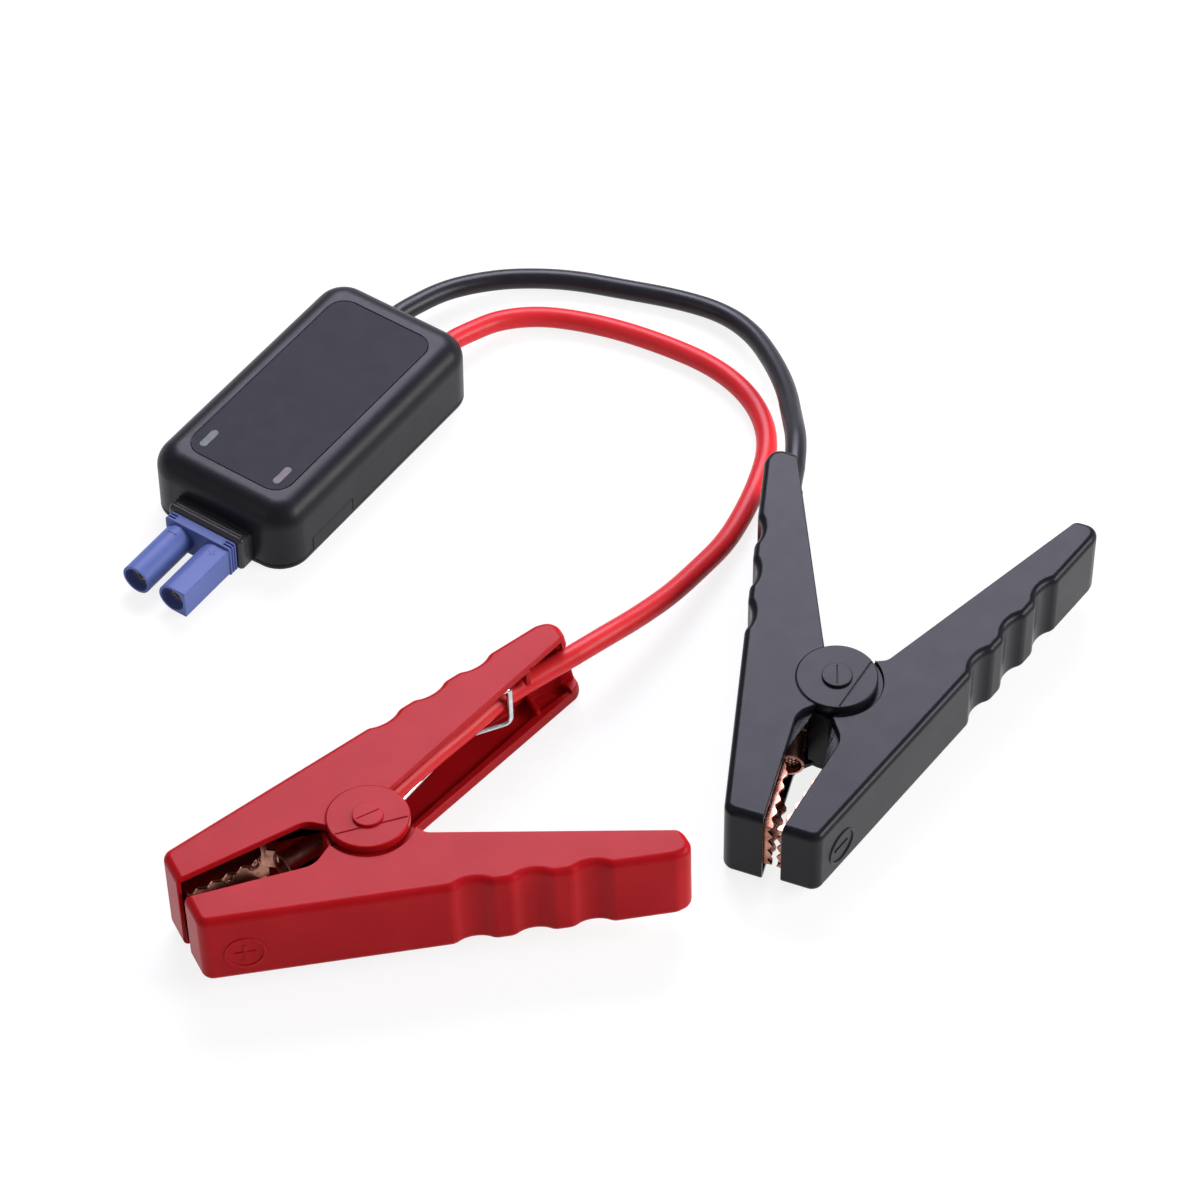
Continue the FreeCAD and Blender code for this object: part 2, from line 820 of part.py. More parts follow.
def jaw_seat(side, with_tongue):
    inner = side["half_height"] - side["plate"]
    seat = box(seat_start, jaw_back(), -inner - 0.5, seat_end, jaw_back() + seat_thickness, inner + 0.5)
    seat = seat.cut([rod(rivet_radius, (x, 0, 0), (x, 2 * jaw_depth, 0)) for x in rivet_places])
    if with_tongue:
        half = tongue_half_width + tongue_window_gap
        seat = seat.cut(box(tongue_start - tongue_window_gap, 0, -half, seat_end + 1, 2 * jaw_depth, half))
    return in_jaw_frame(side, seat)


def rivet(x, stack_back):
    head = rod(rivet_head_radius, (x, jaw_depth, 0), (x, jaw_depth - rivet_head_height, 0))
    head = round_edges(head, 0.5, lambda edge: edge.BoundBox.YMax < jaw_depth - rivet_head_height / 2)
    tail = rod(rivet_head_radius, (x, stack_back, 0), (x, stack_back + rivet_head_height, 0))
    return joined([head, tail, rod(rivet_radius, (x, jaw_depth, 0), (x, stack_back, 0))])


def jaw_rivets(side, with_tongue):
    seat_back = jaw_back() + seat_thickness
    backs = (seat_back, tongue_back() if with_tongue else seat_back)
    return in_jaw_frame(side, Part.makeCompound([rivet(x, back) for x, back in zip(rivet_places, backs)]))


def crimp_barrel(side):
    axis_y = tongue_back() - barrel_radius
    barrel = rod(barrel_radius, (barrel_start, axis_y, 0), (barrel_end, axis_y, 0))
    tongue = box(tongue_start, jaw_back(), -tongue_half_width,
                 barrel_start + 1, tongue_back(), tongue_half_width)
    bore = rod(cable_radius + screw_fit, (barrel_start, axis_y, 0), (barrel_end + 1, axis_y, 0))
    rivet_hole = rod(rivet_radius, (rivet_places[1], 0, 0), (rivet_places[1], 2 * jaw_depth, 0))
    return in_jaw_frame(side, joined([barrel, tongue]).cut([bore, rivet_hole]))


# Cable inside the handle

def held_cable_points():
    side = cable_side
    angle = math.radians(side["back_angle"])

    def on_line(x):
        return Vector(x, cable_offset / math.cos(angle) + math.tan(angle) * x, held_cable_height)
    axis_y = tongue_back() - barrel_radius
    frame = jaw_frame(side)
    return [on_line(side["end_x"] + held_cable_stub), on_line(held_cable_straight_from)] + [
        Vector(*bend) for bend in held_cable_bends] + [
        frame.multVec(Vector(held_cable_bend_in_jaw, axis_y, 0)),
        frame.multVec(Vector(held_cable_end_in_jaw, axis_y, 0))]


def cable_guides():
    """Ribs above and below the cable, near the end of the handle."""
    side = cable_side
    inner = side["half_height"] - side["plate"]
    mouth, inward = held_cable_points()[:2]
    out = (mouth - inward).normalize()
    groove = rod(cable_radius + rib_gap, inward, mouth + out * end_wall)
    ribs = []
    for low, high in ((held_cable_height + cable_radius / 2, inner + 0.5),
                      (-inner - 0.5, held_cable_height - cable_radius / 2)):
        ribs.append(box(rib_x, belly_point(side, rib_x) + 0.5, low, rib_x + rib_thickness,
                        back_point(side, rib_x, back_thickness / 2), high))
    return ribs, groove


def handle_cable_side():
    body = channel(cable_side)
    ribs, groove = cable_guides()
    low = cable_side["half_height"] - cable_side["plate"]
    body = joined([body, jaw_seat(cable_side, True)] + ribs + both_levels(hub_radius, low, hub_top))
    return body.cut([groove, pin_bore()])


def badge(sign_bars):
    """A ring with a polarity sign, raised on the flat back near the nose."""
    angle = free_side["back_angle"]
    ring = Part.makeCylinder(badge_radius, 2 * badge_rise).cut(
        Part.makeCylinder(badge_radius - badge_line, 2 * badge_rise))
    half = badge_sign_length / 2
    bars = [box(-half, -badge_line / 2, 0, half, badge_line / 2, 2 * badge_rise)]
    if sign_bars == 2:
        bars.append(box(-badge_line / 2, -half, 0, badge_line / 2, half, 2 * badge_rise))
    mark = Part.makeCompound([ring, joined(bars) if sign_bars == 2 else bars[0]])
    turn = Rotation(Vector(0, 0, 1), angle).multiply(Rotation(Vector(1, 0, 0), -90))
    mark.Placement = Placement(Vector(badge_x, back_point(free_side, badge_x, badge_rise), badge_z), turn)
    return mark.Solids


def handle_free(sign_bars):
    side = free_side
    body = channel(side)
    body = body.cut(both_levels(hub_radius + hub_clearance, ear_top, 2 * ear_top))
    ears = both_levels(ear_radius, ear_top - ear_thickness, ear_top)
    body = joined([body, jaw_seat(side, False)] + ears + badge(sign_bars))
    return mirrored(body.cut(pin_bore()))


def mirrored(shape):
    return shape.mirror(Vector(0, 0, 0), Vector(0, 1, 0))


def pivot_pin():
    heads = both_levels(pin_head_radius, hub_top, hub_top + pin_head_height)
    heads = [round_edges(head, 0.4, lambda edge: abs(edge.CenterOfMass.z) > hub_top + pin_head_height / 2)
             for head in heads]
    return joined([rod(pin_radius, (0, 0, -hub_top), (0, 0, hub_top))] + heads)


# Spring: from a leg in the free handle, round the pin, along the cable's handle and back on the other level

def spring_half():
    """Corner points from the free leg's tip to the bridge, with the reach of each corner's arc."""
    side = free_side
    angle = math.radians(side["back_angle"])
    offset = side["back_offset"] - back_thickness - wire / 2 - leg_gap
    tip = Vector(leg_tip_x, -offset / math.cos(angle) - math.tan(angle) * leg_tip_x, 0)
    bend = Vector(arm_bend[0], arm_bend[1], 0)
    start = math.atan2(tip.y, tip.x) - math.acos(coil_radius / tip.Length)
    end = math.atan2(bend.y, bend.x) + math.acos(coil_radius / bend.Length)
    sweep = (start - end) % (2 * math.pi) + 2 * math.pi * (coil_full_turns - 1)
    count = math.ceil(sweep / (math.pi / 2))
    step = sweep / count
    fall = coil_pitch * step / (2 * math.pi)
    points = [Vector(tip.x, tip.y, coil_top)]
    for i in range(count):
        around = start - (i + 0.5) * step
        reach = coil_radius / math.cos(step / 2)
        points.append(Vector(reach * math.cos(around), reach * math.sin(around), coil_top - (i + 0.5) * fall))
    reaches = [0.0] + [0.5 * (points[2] - points[1]).Length] * count
    cable_y = cable_offset / math.cos(math.radians(cable_side["back_angle"])) + math.tan(
        math.radians(cable_side["back_angle"])) * bridge_x
    corner = Vector(bridge_x, cable_y - (cable_radius + wire / 2 + bridge_gap) / math.cos(
        math.radians(cable_side["back_angle"])), bridge_half_height)
    bend.z = coil_top - count * fall + (bridge_half_height - coil_top + count * fall) * 0.8
    turn = half_turn(points[-1], bend, corner)
    points += [bend, corner]
    reaches += [arm_bend_radius * math.tan(turn), bridge_bend_radius]
    return points, reaches


def spring():
    points, reaches = spring_half()
    other = [Vector(p.x, p.y, -p.z) for p in reversed(points)]
    points, reaches = points + other, reaches + list(reversed(reaches))
    path, solid = tube(points, reaches, wire / 2)
    report_tube("spring", points, reaches, path, solid, wire / 2)
    samples = path.discretize(Distance=0.7)
    step = path.Length / (len(samples) - 1)
    apart = int(3 * coil_radius / step)
    least = min((samples[i] - samples[j]).Length for i in range(len(samples))
                for j in range(i + apart, len(samples)))
    print("spring least gap to itself %.2f" % (least - wire))
    return solid


# Clamps in place

def lean(clamp):
    yaw = Rotation(Vector(0, 0, 1), clamp["yaw"])
    pitch = Rotation(Vector(0, 1, 0), clamp["pitch"])
    return yaw.multiply(pitch).multiply(Rotation(Vector(1, 0, 0), clamp["roll"]))


def lowest(shape, rotation):
    turned = shape.copy()
    turned.Placement = Placement(Vector(0, 0, 0), rotation)
    return turned.optimalBoundingBox(False, False).ZMin


def clamp_pieces(sign_bars):
    points = held_cable_points()
    reaches = even_reaches(points)
    path, held = tube(points, reaches, cable_radius)
    report_tube("held cable", points, reaches, path, held, cable_radius)
    return {
        "handle_cable_side": handle_cable_side(),
        "handle_free": handle_free(sign_bars),
        "jaw_cable_side": in_jaw_frame(cable_side, jaw()),
        "jaw_free": mirrored(in_jaw_frame(free_side, jaw())),
        "jaw_rivets_cable_side": jaw_rivets(cable_side, True),
        "jaw_rivets_free": mirrored(jaw_rivets(free_side, False)),
        "crimp_barrel": crimp_barrel(cable_side),
        "cable_in_handle": held,
        "pivot_pin": pivot_pin(),
        "spring": spring(),
    }


def place_clamp(name, clamp, pieces):
    rotation = lean(clamp)
    resting = ("handle_cable_side", "handle_free", "pivot_pin")
    height = -min(lowest(pieces[key], rotation) for key in resting)
    place = Placement(Vector(clamp["x"], clamp["y"], height), rotation)
    for key, shape in pieces.items():
        moved = shape.copy()
        moved.Placement = place.multiply(moved.Placement)
        save(name + "_" + key, moved)
    axis = rotation.multVec(Vector(0, 0, 1))
    print(name, "hinge at", [round(v / 1000, 6) for v in place.Base], "axis", [round(v, 6) for v in axis])
    return place


def free_cable(name, exit_y, route, place):
    mouth, inward = [place.multVec(p) for p in held_cable_points()[:2]]
    lead = mouth + (mouth - inward).normalize() * exit_lead
    start = Vector(case_length / 2, exit_y, cable_exit_height)
    points = [start] + [Vector(*p) for p in route] + [lead, mouth]
    print(name, "ends at", [round(v, 2) for v in mouth], "after", [round(v, 2) for v in lead])
    save(name, cable_tube(name, points))


os.makedirs("parts", exist_ok=True)
save("upper_shell", upper_shell())
save("lower_shell", lower_shell())
save("label_panel", label_panel())
save("plug_housing", plug_housing())
save("plug_contact_positive", plug_contact(-1))
save("plug_contact_negative", plug_contact(1))
save("circuit_board", circuit_board())
save("power_relay", power_relay())
save("power_transistors", power_transistors())
save("capacitor", capacitor())
save("control_chip", on_board(chip_box, chip_place))
save("led_start", led(1))
save("led_error", led(-1))
save("window_start", light_window(1))
save("window_error", light_window(-1))
save("busbar_positive", plug_busbar(-1, relay_place[0]))
save("busbar_negative", plug_busbar(1, terminal_start))
save("busbar_output", output_busbar())
save("cable_terminals", cable_terminals())
save("cable_clamp", cable_clamp())
save("case_screws", case_screws())
save("clamp_screws", clamp_screws())
save("red_cable_in_case", inner_cable(red_exit_y))
save("black_cable_in_case", inner_cable(black_exit_y))
red_place = place_clamp("red", red_clamp, clamp_pieces(2))
black_place = place_clamp("black", black_clamp, clamp_pieces(1))
free_cable("red_cable", red_exit_y, red_route, red_place)
free_cable("black_cable", black_exit_y, black_route, black_place)
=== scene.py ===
import json
import math

import bmesh
import bpy
from mathutils import Matrix, Vector


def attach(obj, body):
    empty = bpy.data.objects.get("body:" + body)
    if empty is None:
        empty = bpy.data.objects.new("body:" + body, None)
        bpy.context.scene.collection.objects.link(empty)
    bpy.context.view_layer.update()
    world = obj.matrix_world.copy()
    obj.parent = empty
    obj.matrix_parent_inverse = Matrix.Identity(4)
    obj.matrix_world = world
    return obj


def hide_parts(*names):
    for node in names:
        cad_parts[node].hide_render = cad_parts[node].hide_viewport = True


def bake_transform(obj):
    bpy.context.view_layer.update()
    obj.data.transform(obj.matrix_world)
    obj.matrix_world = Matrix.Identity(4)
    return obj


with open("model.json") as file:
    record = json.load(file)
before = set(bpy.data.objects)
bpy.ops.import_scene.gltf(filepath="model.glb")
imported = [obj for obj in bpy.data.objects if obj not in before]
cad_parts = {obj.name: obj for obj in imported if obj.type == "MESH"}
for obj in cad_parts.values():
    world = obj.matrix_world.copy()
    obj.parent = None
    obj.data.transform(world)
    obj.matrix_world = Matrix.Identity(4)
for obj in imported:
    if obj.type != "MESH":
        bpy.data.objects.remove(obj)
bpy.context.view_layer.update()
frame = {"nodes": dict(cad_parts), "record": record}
mm = 0.001
print("frame loaded:", len(frame["nodes"]), "nodes")

# The view of the photograph
viewPoint = {"place": (-0.7879, -0.6498, 1.0381), "target": (-0.00258, -0.11013, 0.0),
             "lens": 139.5, "sensor": 36.0, "near": 0.02, "far": 20.0}


def addCamera(spec):
    data = bpy.data.cameras.new("camera")
    data.lens = spec["lens"]
    data.sensor_width = spec["sensor"]
    data.clip_start = spec["near"]
    data.clip_end = spec["far"]
    camera = bpy.data.objects.new("camera", data)
    camera.location = spec["place"]
    aim = Vector(spec["target"]) - Vector(spec["place"])
    camera.rotation_euler = aim.to_track_quat("-Z", "Y").to_euler()
    bpy.context.collection.objects.link(camera)
    bpy.context.scene.camera = camera


addCamera(viewPoint)
bpy.context.scene.view_settings.view_transform = "Standard"

# Soft boxes: place, point they face, width, height, power in watts, tint
studio = {
    "boxes": {
        "back box": ((0.90, 0.50, 1.15), (0.0, -0.1, 0.0), 1.0, 0.8, 33.0, (0.85, 0.83, 1.0)),
        "left box": ((-1.3, 0.5, 0.9), (0.0, -0.1, 0.0), 0.8, 0.9, 2.0, (1.0, 1.0, 1.0)),
        "front box": ((0.65, -1.4, 0.7), (0.0, -0.1, 0.0), 1.0, 0.7, 24.0, (1.0, 1.0, 1.0)),
    },
    "horizon": 0.42, "zenith": 0.14, "zenithFrom": 0.9, "floorSize": 4.0,
    "floorColour": (0.9, 0.9, 0.9, 1.0), "seenColour": (0.2, 0.2, 0.2, 1.0), "floorGlow": 0.84,
}


def addSoftBox(name, place, target, width, height, power, tint):
    data = bpy.data.lights.new(name, "AREA")
    data.shape = "RECTANGLE"
    data.size = width
    data.size_y = height
    data.energy = power
    data.color = tint
    lamp = bpy.data.objects.new(name, data)
    lamp.location = place
    lamp.rotation_euler = (Vector(target) - Vector(place)).to_track_quat("-Z", "Y").to_euler()
    bpy.context.collection.objects.link(lamp)


for name, box in studio["boxes"].items():
    addSoftBox(name, *box)


def dressWorld(spec):
    # Paler at the horizon than overhead
    world = bpy.data.worlds.new("studio")
    bpy.context.scene.world = world
    world.use_nodes = True
    nodes, links = world.node_tree.nodes, world.node_tree.links
    coordinates = nodes.new("ShaderNodeTexCoord")
    split = nodes.new("ShaderNodeSeparateXYZ")
    ramp = nodes.new("ShaderNodeValToRGB")
    stops = ((0.0, spec["horizon"]), (spec["zenithFrom"], spec["zenith"]))
    for stop, (place, shade) in zip(ramp.color_ramp.elements, stops):
        stop.position = place
        stop.color = (shade, shade, shade, 1.0)
    links.new(coordinates.outputs["Generated"], split.inputs[0])
    links.new(split.outputs["Z"], ramp.inputs["Fac"])
    links.new(ramp.outputs["Color"], nodes["Background"].inputs["Color"])


dressWorld(studio)


def layFloor(spec):
    # White to the camera and in reflections, plain matt to the light, so the shadow stays
    shape = bmesh.new()
    bmesh.ops.create_grid(shape, x_segments=1, y_segments=1, size=spec["floorSize"])
    mesh = bpy.data.meshes.new("floor")
    shape.to_mesh(mesh)
    shape.free()
    floor = bpy.data.objects.new("floor", mesh)
    bpy.context.collection.objects.link(floor)
    material = bpy.data.materials.new("pale floor")
    material.use_nodes = True
    nodes, links = material.node_tree.nodes, material.node_tree.links
    nodes.remove(nodes["Principled BSDF"])
    matt = nodes.new("ShaderNodeBsdfDiffuse")
    matt.inputs["Color"].default_value = spec["floorColour"]
    seenMatt = nodes.new("ShaderNodeBsdfDiffuse")
    seenMatt.inputs["Color"].default_value = spec["seenColour"]
    glow = nodes.new("ShaderNodeEmission")
    glow.inputs["Strength"].default_value = spec["floorGlow"]
    both = nodes.new("ShaderNodeAddShader")
    rays = nodes.new("ShaderNodeLightPath")
    seen = nodes.new("ShaderNodeMath")
    seen.operation = "MAXIMUM"
    through = nodes.new("ShaderNodeMath")
    through.operation = "MAXIMUM"
    pick = nodes.new("ShaderNodeMixShader")
    links.new(rays.outputs["Is Camera Ray"], seen.inputs[0])
    links.new(rays.outputs["Is Glossy Ray"], seen.inputs[1])
    links.new(seen.outputs[0], through.inputs[0])
    links.new(rays.outputs["Is Transmission Ray"], through.inputs[1])
    links.new(seenMatt.outputs[0], both.inputs[0])
    links.new(glow.outputs[0], both.inputs[1])
    links.new(through.outputs[0], pick.inputs["Fac"])
    links.new(matt.outputs[0], pick.inputs[1])
    links.new(both.outputs[0], pick.inputs[2])
    links.new(pick.outputs[0], nodes["Material Output"].inputs["Surface"])
    mesh.materials.append(material)


layFloor(studio)
print("camera, lights and floor ready")


# Materials. Every pattern reads the object's own coordinates. A noise is given by its size in metres
# and its detail, and a shade or a roughness runs over the middle of the noise's range.
noiseSpan = (0.3, 0.7)
plasticPattern = {"cloud": (0.016, 4.0), "wave": (0.011, 1.0), "patch": (0.006, 5.0), "grainDetail": 2.0,
                  "glossier": 0.015, "duller": 0.02, "glowDepth": 0.004}
metalPattern = {"tarnish": (0.0045, 5.0), "drawn": (1.0, 9.0, 9.0), "scratchDetail": 3.0, "duller": 0.12}
jacketPattern = {"cloud": (0.02, 3.0), "wave": (0.007, 1.0), "grain": (0.0006, 2.0), "patch": (0.008, 5.0),
                 "glossier": 0.03, "duller": 0.05, "waveDepth": 0.00012, "grainDepth": 0.000006}
windowPattern = {"cloud": (0.002, 2.0), "roughness": (0.42, 0.5)}


def startMaterial(name, metallic=0.0, specular=0.5):
    material = bpy.data.materials.new(name)
    material.use_nodes = True
    nodes = material.node_tree.nodes
    shader = nodes["Principled BSDF"]
    shader.inputs["Metallic"].default_value = metallic
    shader.inputs["Specular IOR Level"].default_value = specular
    coordinates = nodes.new("ShaderNodeTexCoord")
    return material, nodes, material.node_tree.links, shader, coordinates.outputs["Object"]


def addNoise(nodes, links, where, size, detail):
    noise = nodes.new("ShaderNodeTexNoise")
    noise.inputs["Scale"].default_value = 1.0 / size
    noise.inputs["Detail"].default_value = detail
    links.new(where, noise.inputs["Vector"])
    return noise.outputs["Fac"]


def addRange(nodes, links, value, low, high):
    spread = nodes.new("ShaderNodeMapRange")
    spread.inputs["From Min"].default_value, spread.inputs["From Max"].default_value = noiseSpan
    spread.inputs["To Min"].default_value = low
    spread.inputs["To Max"].default_value = high
    links.new(value, spread.inputs["Value"])
    return spread.outputs["Result"]


def addShades(nodes, links, value, dark, pale):
    ramp = nodes.new("ShaderNodeValToRGB")
    for stop, place, shade in zip(ramp.color_ramp.elements, noiseSpan, (dark, pale)):
        stop.position = place
        stop.color = (*shade, 1.0)
    links.new(value, ramp.inputs["Fac"])
    return ramp.outputs["Color"]


def addBump(nodes, links, height, distance, under=None):
    bump = nodes.new("ShaderNodeBump")
    bump.inputs["Distance"].default_value = distance
    bump.inputs["Strength"].default_value = 1.0
    links.new(height, bump.inputs["Height"])
    if under:
        links.new(under, bump.inputs["Normal"])
    return bump.outputs["Normal"]


def mouldedPlastic(name, dark, pale, roughness, grain, grainDepth, waveDepth, specular=0.5, glow=0.0):
    # Cloudy shade, fine mould grain over a slow unevenness, and a patchy sheen
    spec = plasticPattern
    material, nodes, links, shader, where = startMaterial(name, specular=specular)
    shader.inputs["Subsurface Weight"].default_value = glow
    shader.inputs["Subsurface Scale"].default_value = spec["glowDepth"]
    cloud = addNoise(nodes, links, where, *spec["cloud"])
    fine = addNoise(nodes, links, where, grain, spec["grainDetail"])
    slow = addNoise(nodes, links, where, *spec["wave"])
    patch = addNoise(nodes, links, where, *spec["patch"])
    sheen = addRange(nodes, links, patch, roughness - spec["glossier"], roughness + spec["duller"])
    uneven = addBump(nodes, links, slow, waveDepth)
    links.new(addShades(nodes, links, cloud, dark, pale), shader.inputs["Base Color"])
    links.new(sheen, shader.inputs["Roughness"])
    links.new(addBump(nodes, links, fine, grainDepth, under=uneven), shader.inputs["Normal"])
    return material


def sheetMetal(name, dark, pale, roughness, scratch, scratchDepth):
    # Uneven tarnish and fine drawn scratches
    spec = metalPattern
    material, nodes, links, shader, where = startMaterial(name, metallic=1.0)
    tarnish = addNoise(nodes, links, where, *spec["tarnish"])
    turned = nodes.new("ShaderNodeMapping")
    turned.inputs["Scale"].default_value = spec["drawn"]
    links.new(where, turned.inputs["Vector"])
    drawn = addNoise(nodes, links, turned.outputs["Vector"], scratch, spec["scratchDetail"])
    sheen = addRange(nodes, links, tarnish, roughness + spec["duller"], roughness)
    links.new(addShades(nodes, links, tarnish, dark, pale), shader.inputs["Base Color"])
    links.new(sheen, shader.inputs["Roughness"])
    links.new(addBump(nodes, links, drawn, scratchDepth), shader.inputs["Normal"])
    return material


def cableJacket(name, dark, pale, roughness, specular):
    # Smooth soft jacket with a slow waviness from the strands under it
    spec = jacketPattern
    material, nodes, links, shader, where = startMaterial(name, specular=specular)
    cloud, slow, fine, patch = (addNoise(nodes, links, where, *spec[noise])
                                for noise in ("cloud", "wave", "grain", "patch"))
    sheen = addRange(nodes, links, patch, roughness - spec["glossier"], roughness + spec["duller"])
    uneven = addBump(nodes, links, slow, spec["waveDepth"])
    links.new(addShades(nodes, links, cloud, dark, pale), shader.inputs["Base Color"])
    links.new(sheen, shader.inputs["Roughness"])
    links.new(addBump(nodes, links, fine, spec["grainDepth"], under=uneven), shader.inputs["Normal"])
    return material


def tintedWindow(name, dark, pale):
    material, nodes, links, shader, where = startMaterial(name)
    cloud = addNoise(nodes, links, where, *windowPattern["cloud"])
    links.new(addShades(nodes, links, cloud, dark, pale), shader.inputs["Base Color"])
    links.new(addRange(nodes, links, cloud, *windowPattern["roughness"]), shader.inputs["Roughness"])
    return material


finishes = {
    "black_plastic": mouldedPlastic(
        "black plastic", (0.0075, 0.0075, 0.0105), (0.011, 0.011, 0.015),
        roughness=0.29, grain=0.0006, grainDepth=0.00002, waveDepth=0.00003, specular=0.13),
    "case_plastic": mouldedPlastic(
        "black case plastic", (0.0085, 0.0085, 0.012), (0.012, 0.012, 0.0165),
        roughness=0.38, grain=0.0005, grainDepth=0.000016, waveDepth=0.00002, specular=0.17),
    # Painted light: the sleeve is the case's black plastic drawn about three times paler, to stand in for light
    # that the case body keeps off it
    "sleeve_painted_light_plastic": mouldedPlastic(
        "black sleeve plastic painted paler for light", (0.026, 0.026, 0.031), (0.033, 0.033, 0.039),
        roughness=0.33, grain=0.0005, grainDepth=0.00002, waveDepth=0.00002, specular=0.35),
    "red_plastic": mouldedPlastic(
        "red plastic", (0.37, 0.005, 0.0085), (0.415, 0.0075, 0.0115),
        roughness=0.34, grain=0.0006, grainDepth=0.000016, waveDepth=0.00004, specular=0.08, glow=0.3),
    "label": mouldedPlastic(
        "label film", (0.014, 0.014, 0.020), (0.017, 0.017, 0.024),
        roughness=0.5, grain=0.00035, grainDepth=0.00002, waveDepth=0.00001, specular=0.10),
    "plug_blue": mouldedPlastic(
        "blue nylon", (0.088, 0.124, 0.335), (0.10, 0.14, 0.37),
        roughness=0.42, grain=0.0004, grainDepth=0.000012, waveDepth=0.00003, specular=0.15),
    "circuit_green": mouldedPlastic(
        "board lacquer", (0.01, 0.12, 0.04), (0.02, 0.18, 0.07),
        roughness=0.3, grain=0.0005, grainDepth=0.00001, waveDepth=0.00002),
    "component_black": mouldedPlastic(
        "component resin", (0.018, 0.018, 0.02), (0.028, 0.028, 0.03),
        roughness=0.45, grain=0.0003, grainDepth=0.00001, waveDepth=0.00001),
    "contact_brass": sheetMetal(
        "gold plated brass", (0.62, 0.40, 0.16), (0.90, 0.66, 0.34),
        roughness=0.2, scratch=0.0009, scratchDepth=0.000004),
    # Painted shade: this copper is far darker than bare copper, to stand in for the shade and dark reflections
    # inside the handles; the spread between its dark and pale ends is random tone
    "copper": sheetMetal(
        "copper sheet painted dark for shade", (0.15, 0.052, 0.033), (0.54, 0.26, 0.19),
        roughness=0.2, scratch=0.001, scratchDepth=0.00001),
    # Painted light: the barrel's copper is a paler copy of the jaws' copper, to stand in for light that falls
    # on the tube in the throat
    "copper_tube_painted_light": sheetMetal(
        "copper tube painted paler for light", (0.34, 0.125, 0.085), (0.76, 0.43, 0.34),
        roughness=0.34, scratch=0.0009, scratchDepth=0.000008),
    "steel": sheetMetal(
        "zinc plated steel", (0.42, 0.42, 0.44), (0.68, 0.68, 0.70),
        roughness=0.3, scratch=0.0008, scratchDepth=0.00001),
    "spring_steel": sheetMetal(
        "bright spring wire", (0.50, 0.50, 0.52), (0.82, 0.82, 0.84),
        roughness=0.14, scratch=0.0006, scratchDepth=0.000006),
    "aluminium_can": sheetMetal(
        "drawn aluminium", (0.66, 0.66, 0.68), (0.84, 0.84, 0.86),
        roughness=0.25, scratch=0.0007, scratchDepth=0.000006),
    "window_green": tintedWindow("green light window", (0.016, 0.03, 0.024), (0.024, 0.042, 0.034)),
    "window_red": tintedWindow("red light window", (0.034, 0.018, 0.022), (0.046, 0.024, 0.028)),
    "red_cable": cableJacket(
        "red cable jacket", (0.59, 0.018, 0.022), (0.66, 0.024, 0.029), roughness=0.36, specular=0.2),
    "black_cable": cableJacket(
        "black cable jacket", (0.0125, 0.0125, 0.0165), (0.0175, 0.0175, 0.023), roughness=0.34, specular=0.25),
}
casePieces = ("upper_shell", "lower_shell", "cable_clamp")
slotOf = {part["node"]: part["material_slot"] for part in frame["record"]["subparts"]}
for node, slot in slotOf.items():
    slots = frame["nodes"][node].data.materials
    slots.clear()
    slots.append(finishes["case_plastic" if node in casePieces else slot])
print("materials ready:", len(finishes))

# The free cables: the route's points in metres, from the case to the clamp's handle
cables = {
    "red_cable": {
        "length": 0.260, "points": [
            (0.0495, -0.012, 0.008), (0.0558, -0.012, 0.008), (0.0648, -0.0143, 0.0068),
            (0.075, -0.0176, 0.0054), (0.0844, -0.0258, 0.0042), (0.0904, -0.037, 0.0037),
            (0.095, -0.052, 0.0035), (0.0974, -0.0684, 0.0035), (0.098, -0.084, 0.0035),
            (0.0946, -0.0986, 0.0035), (0.087, -0.1108, 0.0036), (0.0764, -0.1194, 0.0038),
            (0.0626, -0.1246, 0.0038), (0.0484, -0.1284, 0.0042), (0.034, -0.1312, 0.0056),
            (0.019, -0.1316, 0.0078), (0.0036, -0.1318, 0.0104), (-0.012, -0.1302, 0.0132),
            (-0.02771, -0.12764, 0.01639), (-0.03829, -0.12463, 0.01655),
        ]},
    "black_cable": {
        "length": 0.212, "points": [
            (0.0495, 0.009, 0.008), (0.0554, 0.009, 0.008), (0.0644, 0.007, 0.0075),
            (0.075, 0.004, 0.0066), (0.0852, -0.002, 0.0055), (0.0948, -0.0106, 0.0046),
            (0.1046, -0.0246, 0.0038), (0.111, -0.0414, 0.0035), (0.117, -0.058, 0.0035),
            (0.1196, -0.0734, 0.004), (0.1162, -0.087, 0.0054), (0.1074, -0.1002, 0.008),
            (0.0956, -0.1134, 0.0116), (0.0826, -0.1238, 0.0156), (0.06996, -0.13372, 0.02048),
            (0.06021, -0.1388, 0.02022),
        ]},
}
cableWidth = 0.0066


def addCurve(name, points, width, roundness=8):
    curve = bpy.data.curves.new(name, "CURVE")
    curve.dimensions = "3D"
    spline = curve.splines.new("NURBS")
    spline.points.add(len(points) - 1)
    for point, place in zip(spline.points, points):
        point.co = (*place, 1.0)
    spline.order_u = 3
    spline.use_endpoint_u = True
    spline.resolution_u = 10
    curve.bevel_depth = width / 2
    curve.bevel_resolution = roundness
    curve.use_fill_caps = True
    piece = bpy.data.objects.new(name, curve)
    bpy.context.collection.objects.link(piece)
    return piece


for name, spec in cables.items():
    cable = addCurve(name + "_free", spec["points"], cableWidth)
    cable.data.materials.append(finishes[name])
    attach(cable, "base")
    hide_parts(name)
print("cables laid")


# Common steps for solid pieces. The sleeve, the signs and the clamps are drawn in millimetres, so the
# lengths below are millimetres, but for the merging of the CAD's meshes.
tiny = 0.0001  # places closer than this count as the same
carvedSpot, tubeSpot = 0.002, 0.01  # points closer than this become one
merging = {"distance": 0.000003, "flatAngle": 0.6}
sheetAngle = 50.0


